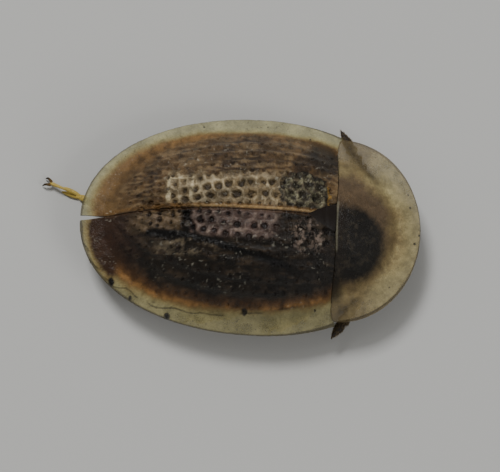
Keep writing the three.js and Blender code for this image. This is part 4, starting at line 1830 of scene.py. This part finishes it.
@dataclass
class Head:
    """The head, tucked under the pronotum, with its eyes, mouth parts and palps."""

    plan: BodyPlan
    centre: tuple[float, float, float] = (2.98, 0.0, 0.94)
    radii: tuple[float, float, float] = (0.46, 0.5, 0.44)
    pitch: float = 0.35
    eye_inset: float = 0.34
    eye_centre: tuple[float, float, float] = (2.98, 0.0, 0.96)
    eye_radii: tuple[float, float, float] = (0.22, 0.2, 0.28)

    def make(self, place: Place, finishes: Finishes) -> list[bpy.types.Object]:
        """Builds the head and both eyes.

        Args:
            place: Carries them into the scene.
            finishes: The materials.

        Returns:
            The objects.
        """
        form = Form()
        points, faces = globe((0, 0, 0), self.radii, 72, 48)
        x, y = points[:, 0], points[:, 1]
        points[:, 1] = np.sign(y) * np.minimum(np.abs(y), 0.36 + 0.35 * (np.abs(y) - 0.36))
        frown = 0.05 * np.exp(-((y / 0.03) ** 2)) * (x > 0)
        points[:, 0] = x - frown
        turn = np.array(Matrix.Rotation(self.pitch, 3, "Y"))
        points = points @ turn.T + np.array(self.centre)
        ceiling = self.plan.pronotum_top(points[:, 0], points[:, 1]) - 0.26
        points[:, 2] = np.minimum(points[:, 2], ceiling)
        tint = np.broadcast_to(tone(60, 44, 26), (len(points), 3)).copy()
        tint = lay(tint, tone(112, 88, 48), smooth(0.9, 0.6, points[:, 2]))
        form.add(points, faces, tint, fuzz=0.3, lie=np.array([0.2, 0.0, -1.0]))
        self.mouth(form)
        head = form.build("head_capsule", place, finishes.body)
        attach(head, "root")
        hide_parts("head")
        return [head, *[self.eye(side, place, finishes.eye) for side in Side]]

    def mouth(self, form: Form) -> None:
        """Adds the clypeus, upper lip, jaws and palps.

        Args:
            form: The head's mesh.
        """
        amber, dark = tone(122, 92, 46), tone(50, 30, 16)
        form.add(*globe((3.02, 0.0, 0.58), (0.2, 0.26, 0.12), 48, 24), amber)
        form.add(*globe((2.98, 0.0, 0.48), (0.13, 0.19, 0.07), 40, 20), tone(96, 66, 32))
        for s in (-1.0, 1.0):
            jaw = bent([(3.0, 0.2 * s, 0.52), (2.93, 0.2 * s, 0.42), (2.84, 0.06 * s, 0.35)], 20)
            form.add(*sweep(jaw, np.linspace(0.085, 0.02, 20), np.linspace(0.06, 0.015, 20), 14), dark)
            joints = [(2.98, 0.2 * s, 0.54), (2.88, 0.3 * s, 0.43)]
            joints += [(2.78, 0.3 * s, 0.37), (2.7, 0.26 * s, 0.33)]
            for near, far, thick in zip(joints, joints[1:], (0.045, 0.05, 0.045)):
                line = np.linspace(near, far, 12)
                bulge = thick * np.sqrt(np.clip(1.0 - (np.linspace(-0.86, 0.9, 12)) ** 2, 0.05, 1.0))
                form.add(*sweep(line, bulge, bulge, 12), amber)

    def eye(self, side: Side, place: Place, finish: bpy.types.Material) -> bpy.types.Object:
        """Builds one compound eye, its facets set by Geometry Nodes.

        Args:
            side: Which eye.
            place: Carries it into the scene.
            finish: Its material.

        Returns:
            The object.
        """
        centre = np.array(self.eye_centre) + np.array([0.0, side.sign * (self.eye_inset + 0.02), 0.0])
        form = Form()
        form.add(*globe(centre, self.eye_radii, 56, 40), tone(16, 13, 12))
        dome = form.build(f"eye_dome_{side.value}", place, finish)
        tree = self.facets(finish)
        made = evaluated(dome, tree, {"Facet": 0.012 * MILLI}, f"compound_eye_{side.value}")
        bpy.data.objects.remove(dome)
        fix_tint(made, tone(18, 14, 13), finish)
        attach(made, "root")
        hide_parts(f"eye_{side.value}")
        return made

    def facets(self, finish: bpy.types.Material) -> bpy.types.NodeTree:
        """Builds the tree that sets a small lens on each point of the dome.

        Args:
            finish: The lenses' material.

        Returns:
            The tree, with an input for a facet's radius.
        """
        tree = bpy.data.node_groups.new("eye_facets", "GeometryNodeTree")
        tree.interface.new_socket("Geometry", in_out="INPUT", socket_type="NodeSocketGeometry")
        tree.interface.new_socket("Facet", in_out="INPUT", socket_type="NodeSocketFloat")
        tree.interface.new_socket("Geometry", in_out="OUTPUT", socket_type="NodeSocketGeometry")
        add, link = tree.nodes.new, tree.links.new
        source, result = add("NodeGroupInput"), add("NodeGroupOutput")
        spread = add("GeometryNodeDistributePointsOnFaces")
        spread.distribute_method = "POISSON"
        spread.inputs["Density Max"].default_value = 3.0e9
        spread.inputs["Seed"].default_value = 4
        link(source.outputs["Geometry"], spread.inputs["Mesh"])
        apart = add("ShaderNodeMath")
        apart.operation = "MULTIPLY"
        apart.inputs[1].default_value = 1.35
        link(source.outputs["Facet"], apart.inputs[0])
        link(apart.outputs[0], spread.inputs["Distance Min"])
        lens = add("GeometryNodeMeshIcoSphere")
        lens.inputs["Subdivisions"].default_value = 1
        link(source.outputs["Facet"], lens.inputs["Radius"])
        lay_on, real = add("GeometryNodeInstanceOnPoints"), add("GeometryNodeRealizeInstances")
        link(spread.outputs["Points"], lay_on.inputs["Points"])
        link(lens.outputs["Mesh"], lay_on.inputs["Instance"])
        link(lay_on.outputs[0], real.inputs[0])
        both, dress = add("GeometryNodeJoinGeometry"), add("GeometryNodeSetMaterial")
        link(source.outputs["Geometry"], both.inputs[0])
        link(real.outputs[0], both.inputs[0])
        dress.inputs["Material"].default_value = finish
        link(both.outputs[0], dress.inputs["Geometry"])
        link(dress.outputs[0], result.inputs[0])
        return tree


def fix_tint(made: bpy.types.Object, tint: Array, finish: bpy.types.Material) -> None:
    """Gives a grown mesh one tint and one material.

    Args:
        made: The object.
        tint: The colour.
        finish: The material.
    """
    mesh = made.data
    spent = ("Tint", "Cover", "Fuzz", "Lie", "Unwrap")
    for old in [layer.name for layer in mesh.attributes if layer.name in spent]:
        mesh.attributes.remove(mesh.attributes[old])
    store(mesh, "Tint", "FLOAT_COLOR", np.broadcast_to(tint, (len(mesh.vertices), 3)))
    mesh.materials.clear()
    mesh.materials.append(finish)


# Feelers and legs

# Where a feeler bends, on its own side
FEELER_BENDS = [
    (3.36, 0.17, 0.6),
    (3.22, 0.5, 0.38),
    (2.9, 1.05, 0.34),
    (2.5, 1.72, 0.46),
    (2.02, 2.5, 0.6),
]


@dataclass
class Feeler:
    """An antenna of eleven joints that thickens into a downy club."""

    side: Side
    joints: int = 11
    lengths: tuple[float, ...] = (0.34, 0.2, 0.27, 0.27, 0.27, 0.25, 0.26, 0.27, 0.28, 0.3, 0.56)
    thickness: tuple[float, ...] = (0.1, 0.075, 0.07, 0.07, 0.075, 0.085, 0.12, 0.135, 0.14, 0.14, 0.13)

    def route(self) -> Array:
        """Runs the feeler from the brow out to the hind corner of the pronotum."""
        return bent([(x, y * self.side.sign, z) for x, y, z in FEELER_BENDS], 400)

    def make(self, place: Place, finishes: Finishes) -> list[bpy.types.Object]:
        """Builds the feeler and its down.

        Args:
            place: Carries them into the scene.
            finishes: The materials.

        Returns:
            The objects.
        """
        route = self.route()
        steps = np.linspace(0.0, 1.0, len(route))
        ends = np.concatenate([[0.0], np.cumsum(self.lengths)]) / sum(self.lengths)
        form = Form()
        amber, dark = tone(150, 116, 56), tone(34, 26, 19)
        for k in range(self.joints):
            places = np.linspace(ends[k] + 0.002, ends[k + 1] - 0.002, 16)
            line = np.stack([np.interp(places, steps, route[:, i]) for i in range(3)], axis=1)
            s = np.linspace(0.0, 1.0, 16)
            if k == self.joints - 1:
                shape = 0.05 + 0.95 * (1.0 - s**1.7) * (0.75 + 0.25 * smooth(0.0, 0.3, s))
            else:
                shape = 0.55 + 0.45 * smooth(0.0, 0.75, s) - 0.3 * smooth(0.88, 1.0, s)
            radius = self.thickness[k] * shape
            club = float(smooth(5.0, 7.5, np.array(float(k))))
            tint = amber * (1 - club) + dark * club
            lie = unit(np.gradient(line, axis=0).mean(axis=0))
            form.add(*sweep(line, radius, radius * 0.92, 22), tint, fuzz=0.15 + 0.85 * club, lie=lie)
        made = form.build(f"feeler_{self.side.value}", place, finishes.feeler)
        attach(made, "root")
        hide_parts(f"antenna_{self.side.value}")
        seed = 301 if self.side is Side.LEFT else 302
        down = Bristles(length=0.055, radius=0.005, density=900.0, seed=seed, upright=0.5)
        hairs = down.grow(made, f"feeler_down_{self.side.value}", finishes.hair, tone(112, 96, 66))
        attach(hairs, "root")
        return [made, hairs]


class LegPair(Enum):
    """The three pairs of legs."""

    FRONT = "front"
    MIDDLE = "middle"
    HIND = "hind"


Joint = tuple[float, float]


@dataclass(frozen=True)
class Stance:
    """Where a leg's joints lie in the plan, on its own side."""

    hip: Joint
    knee: Joint
    ankle: Joint
    toe: Joint


STANCES = {
    (LegPair.FRONT, Side.LEFT): Stance((2.12, 0.42), (1.82, 1.42), (1.3, 1.98), (0.5, 2.3)),
    (LegPair.FRONT, Side.RIGHT): Stance((2.12, 0.42), (1.82, 1.42), (1.3, 1.98), (0.5, 2.3)),
    (LegPair.MIDDLE, Side.LEFT): Stance((1.2, 0.6), (0.36, 1.66), (-0.5, 2.02), (-1.46, 2.12)),
    (LegPair.MIDDLE, Side.RIGHT): Stance((1.2, 0.6), (0.36, 1.66), (-0.5, 2.02), (-1.46, 2.12)),
    (LegPair.HIND, Side.LEFT): Stance((-0.25, 0.66), (-2.02, 1.2), (-3.42, 0.42), (-4.94, 1.02)),
    (LegPair.HIND, Side.RIGHT): Stance((-0.25, 0.66), (-1.66, 1.44), (-2.76, 1.1), (-3.72, 0.72)),
}


@dataclass
class Leg:
    """A leg with its hip, thigh, shin, lobed foot joints with pads of hair, and two claws."""

    pair: LegPair
    side: Side
    hip_height: float = 0.4
    knee_height: float = 0.42
    ankle_height: float = 0.21
    thigh: float = 0.22
    shin: float = 0.13
    foot: float = 0.13
    trailing_foot: float = 0.09
    foot_height: float = 0.12
    sole_gap: float = 0.004
    sides: int = 24

    def at(self, joint: Joint, height: float) -> Array:
        """Turns a joint of the plan into a point on the leg's own side."""
        return np.array([joint[0], joint[1] * self.side.sign, height])

    def make(self, place: Place, finishes: Finishes) -> list[bpy.types.Object]:
        """Builds the leg, its claws and its hairs.

        Args:
            place: Carries them into the scene.
            finishes: The materials.

        Returns:
            The objects.
        """
        stance = STANCES[(self.pair, self.side)]
        hip, knee = self.at(stance.hip, self.hip_height), self.at(stance.knee, self.knee_height)
        ankle = self.at(stance.ankle, self.ankle_height)
        heel, toe = self.at(stance.ankle, self.foot_height), self.at(stance.toe, self.foot_height)
        form = Form()
        brown, amber, straw = tone(58, 42, 24), tone(132, 102, 48), tone(176, 152, 74)
        form.add(*globe(hip + 0.14 * UP, (0.26, 0.22, 0.26), 40, 24), brown, fuzz=0.2)
        self.thigh_part(form, hip, knee, amber, brown)
        self.shin_part(form, knee, ankle, amber, straw)
        if self.pair is LegPair.HIND and self.side is Side.LEFT:
            self.foot = self.trailing_foot
        self.foot_part(form, heel, toe, straw)
        name = f"{self.pair.value}_{self.side.value}"
        made = form.build(f"leg_shell_{name}", place, finishes.leg)
        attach(made, "root")
        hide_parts(f"leg_{name}")
        seed = 400 + 10 * list(LegPair).index(self.pair) + (0 if self.side is Side.LEFT else 1)
        hairs = Bristles(length=0.075, radius=0.005, density=420.0, seed=seed, upright=0.45)
        grown = hairs.grow(made, f"leg_hairs_{name}", finishes.hair, tone(196, 176, 110))
        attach(grown, "root")
        return [made, grown, self.claws(heel, toe, place, finishes, name)]

    def thigh_part(self, form: Form, hip: Array, knee: Array, amber: Array, brown: Array) -> None:
        """Adds the thigh.

        Args:
            form: The leg's mesh.
            hip: Where it starts.
            knee: Where it ends.
            amber: Its colour near the knee.
            brown: Its colour near the hip.
        """
        s = np.linspace(0.0, 1.0, 40)
        line = hip + (knee - hip) * s[:, None] + 0.03 * UP * np.sin(math.pi * s)[:, None]
        shape = np.sqrt(np.clip(1.0 - (2.0 * s - 1.0) ** 2, 0.0, 1.0)) ** 0.7
        width = self.thigh * np.maximum(0.45 + 0.55 * shape - 0.12 * smooth(0.6, 1.0, s), 0.1)
        width = width * (1.0 - 0.75 * smooth(0.94, 1.0, s))
        points, faces = sweep(line, width, width * 0.85, self.sides)
        share = ring_shares(s, self.sides)
        tint = lay(np.broadcast_to(brown, (len(points), 3)).copy(), amber, smooth(0.35, 0.85, share))
        form.add(points, faces, tint, fuzz=0.25, lie=unit(knee - hip))

    def shin_part(self, form: Form, knee: Array, ankle: Array, amber: Array, straw: Array) -> None:
        """Adds the shin, slim at the knee and wider at the foot.

        Args:
            form: The leg's mesh.
            knee: Where it starts.
            ankle: Where it ends.
            amber: Its colour at the knee.
            straw: Its colour at the foot.
        """
        s = np.linspace(0.0, 1.0, 40)
        line = knee + (ankle - knee) * s[:, None] + 0.04 * UP * np.sin(math.pi * s)[:, None]
        width = self.shin * (0.72 + 0.1 * np.exp(-((s / 0.1) ** 2)) + 0.34 * smooth(0.3, 0.95, s))
        width = width * (1.0 - 0.6 * smooth(0.96, 1.0, s)) * (0.6 + 0.4 * smooth(0.0, 0.06, s))
        points, faces = sweep(line, width, width * 0.86, self.sides)
        share = ring_shares(s, self.sides)
        tint = lay(np.broadcast_to(amber, (len(points), 3)).copy(), straw, smooth(0.2, 0.9, share))
        form.add(points, faces, tint, fuzz=0.3 + 0.7 * smooth(0.6, 0.95, share), lie=unit(ankle - knee))

    def foot_part(self, form: Form, heel: Array, toe: Array, straw: Array) -> None:
        """Adds the three foot joints, the third of two lobes, and the slim claw joint.

        Args:
            form: The leg's mesh.
            heel: Where the foot starts.
            toe: Where the claws end.
            straw: Its colour.
        """
        run = toe - heel
        way = unit(run)
        across = np.array([-way[1], way[0], 0.0])
        s = np.linspace(0.0, 1.0, 18)
        for k, (near, far, wide) in enumerate(((-0.09, 0.22, 0.72), (0.2, 0.42, 0.85))):
            line = heel + run * (near + (far - near) * s)[:, None]
            swell = 0.4 + 0.6 * smooth(0.0, 0.7, s) - 0.25 * smooth(0.85, 1, s)
            width = self.foot * wide * np.maximum(swell, 0.1)
            tall = np.minimum(width, 0.13)
            line[:, 2] = tall + self.sole_gap + (0.09 * smooth(0.8, 0.0, s) if k == 0 else 0.0)
            form.add(*sweep(line, width, tall, 22), straw, fuzz=0.9, lie=way)
        for lobe in (-1.0, 1.0):
            out = across * lobe * self.foot
            bends = [heel + run * a + out * b for a, b in ((0.4, 0.12), (0.54, 0.5), (0.7, 0.62))]
            line = bent(bends, 20)
            width = self.foot * 0.55 * np.sqrt(np.clip(1.0 - (np.linspace(-0.8, 0.97, 20)) ** 2, 0.02, 1.0))
            tall = np.minimum(width, 0.105)
            line[:, 2] = tall + self.sole_gap
            form.add(*sweep(line, width, tall, 20), straw, fuzz=1.0, lie=way)
        s = np.linspace(0.0, 1.0, 24)
        line = heel + run * (0.5 + 0.4 * s)[:, None]
        line[:, 2] = 0.13 + 0.09 * np.sin(math.pi * s) * (1.0 - s * 0.5)
        width = self.foot * (0.26 + 0.2 * smooth(0.2, 0.9, s)) * (1.0 - 0.5 * smooth(0.93, 1.0, s))
        form.add(*sweep(line, width, width * 0.9, 18), straw * 0.92, fuzz=0.35, lie=way)

    def claws(
        self, heel: Array, toe: Array, place: Place, finishes: Finishes, name: str
    ) -> bpy.types.Object:
        """Builds the two hooked claws as a piece of their own.

        Args:
            heel: Where the foot starts.
            toe: Where the claws end.
            place: Carries them into the scene.
            finishes: The materials.
            name: The leg's name.

        Returns:
            The object.
        """
        run = toe - heel
        way = unit(run)
        across = np.array([-way[1], way[0], 0.0])
        root = heel + run * 0.88
        reach = float(np.linalg.norm(toe - root))
        form = Form()
        for s in (-1.0, 1.0):
            start = root + across * 0.035 * s
            middle = start + way * reach * 0.6 + across * 0.045 * s
            end = start + way * reach * 0.95 + across * 0.06 * (s + 0.6)
            start[2], middle[2], end[2] = 0.13, 0.15, 0.035
            line = bent([start, middle, end], 24)
            thick = np.linspace(1.0, 0.0, 24) ** 0.7 * 0.036 + 0.003
            share = ring_shares(np.linspace(0, 1, 24), 14)
            brown = np.broadcast_to(tone(88, 66, 30), (len(share), 3)).copy()
            tint = lay(brown, tone(26, 18, 12), smooth(0.1, 0.6, share))
            form.add(*sweep(line, thick, thick * 1.2, 14), tint)
        made = form.build(f"claws_{name}", place, finishes.dark)
        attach(made, "root")
        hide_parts(f"leg_{name}")
        return made


# The studio


@dataclass
class Studio:
    """The floor, the lights and the camera of the photograph."""

    place: Place
    tilt: float = 11.0
    turn: float = 3.01
    pixels_per_mm: float = 42.8
    frame_width: int = 500
    frame_height: int = 472
    middle_row: float = 227.0
    distance: float = 66.0
    rim_height: float = 0.9
    sensor: float = 36.0
    floor_half: float = 0.4

    def floor(self) -> bpy.types.Object:
        """Makes the pale floor.

        Returns:
            The floor, in metres as the lamps are.
        """
        mesh = bpy.data.meshes.new("studio_floor")
        half = self.floor_half
        square = [(-half, -half, 0), (half, -half, 0), (half, half, 0), (-half, half, 0)]
        mesh.from_pydata(square, [], [(0, 1, 2, 3)])
        mesh.materials.append(Backdrop().make())
        made = bpy.data.objects.new("studio_floor", mesh)
        bpy.context.scene.collection.objects.link(made)
        made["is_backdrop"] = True
        return made

    def camera(self) -> bpy.types.Object:
        """Sets the camera at the photograph's angle, nearly straight down with a slight roll.

        Returns:
            The camera.
        """
        tilt, turn = math.radians(self.tilt), math.radians(self.turn)
        rise = Vector((0.0, math.cos(tilt), math.sin(tilt)))
        away = Vector((0.0, -math.sin(tilt), math.cos(tilt)))
        ahead = Vector((1.0, 0.0, 0.0))
        right = ahead * math.cos(turn) + rise * math.sin(turn)
        up = rise * math.cos(turn) - ahead * math.sin(turn)
        down = -(self.frame_height / 2.0 - self.middle_row) / self.pixels_per_mm
        lift = down * math.cos(turn) / math.cos(tilt)
        target = Vector((-down * math.sin(turn), lift, self.rim_height)) * MILLI
        target.x += self.place.shift
        data = bpy.data.cameras.new("macro_camera")
        data.sensor_width = self.sensor
        data.lens = self.sensor * self.distance / (self.frame_width / self.pixels_per_mm)
        data.clip_start = 0.001
        data.clip_end = 5.0
        made = bpy.data.objects.new("macro_camera", data)
        bpy.context.scene.collection.objects.link(made)
        basis = Matrix((right, up, away)).transposed().to_4x4()
        made.matrix_world = Matrix.Translation(target + away * self.distance * MILLI) @ basis
        bpy.context.scene.camera = made
        return made

    def lights(self) -> None:
        """Hangs two soft lamps over a bright room."""
        world = bpy.data.worlds.new("studio_room")
        world.use_nodes = True
        world.node_tree.nodes["Background"].inputs["Color"].default_value = (1.0, 0.985, 0.95, 1.0)
        world.node_tree.nodes["Background"].inputs["Strength"].default_value = 0.3
        bpy.context.scene.world = world
        for name, spot, size, power in (
            ("key_lamp", (-0.05, 0.09, 0.16), 0.05, 0.3),
            ("fill_lamp", (0.12, -0.08, 0.12), 0.08, 0.1),
        ):
            data = bpy.data.lights.new(name, "AREA")
            data.size = size
            data.energy = power
            made = bpy.data.objects.new(name, data)
            bpy.context.scene.collection.objects.link(made)
            made.location = spot
            made.rotation_euler = (Vector((0, 0, 0)) - Vector(spot)).to_track_quat("-Z", "Y").to_euler()

    def make(self) -> None:
        """Builds the studio."""
        self.floor()
        self.camera()
        self.lights()


def corners(box: Any) -> list[list[float]]:
    """Turns a box into plain lists.

    Args:
        box: The box's two corners.

    Returns:
        The corners.
    """
    return [[float(v) for v in corner] for corner in box]


def main() -> None:
    """Builds the beetle and its studio."""
    logging.basicConfig(level=logging.INFO, format="%(name)s: %(message)s")
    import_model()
    solids_box = corners(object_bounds())
    plan = BodyPlan()
    place = Place.from_frame(plan)
    Studio(place).make()
    finishes = Finishes()
    pieces: list[bpy.types.Object] = []
    pieces.append(WingCase(plan, Side.LEFT).make(place, finishes.wing_left))
    pieces.append(WingCase(plan, Side.RIGHT).make(place, finishes.wing_right))
    pieces.append(Pronotum(plan).make(place, finishes.pronotum))
    pieces.append(Scutellum(plan).make(place, finishes.dark))
    pieces += Trunk(plan).make(place, finishes)
    pieces += Head(plan).make(place, finishes)
    for side in Side:
        pieces += Feeler(side).make(place, finishes)
        for pair in LegPair:
            pieces += Leg(pair, side).make(place, finishes)
    for piece in pieces:
        LOG.info("%s: %d faces", piece.name, len(piece.data.polygons))
    {"cad": solids_box, "visual": corners(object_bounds())}


if __name__ == "__main__":
    main()
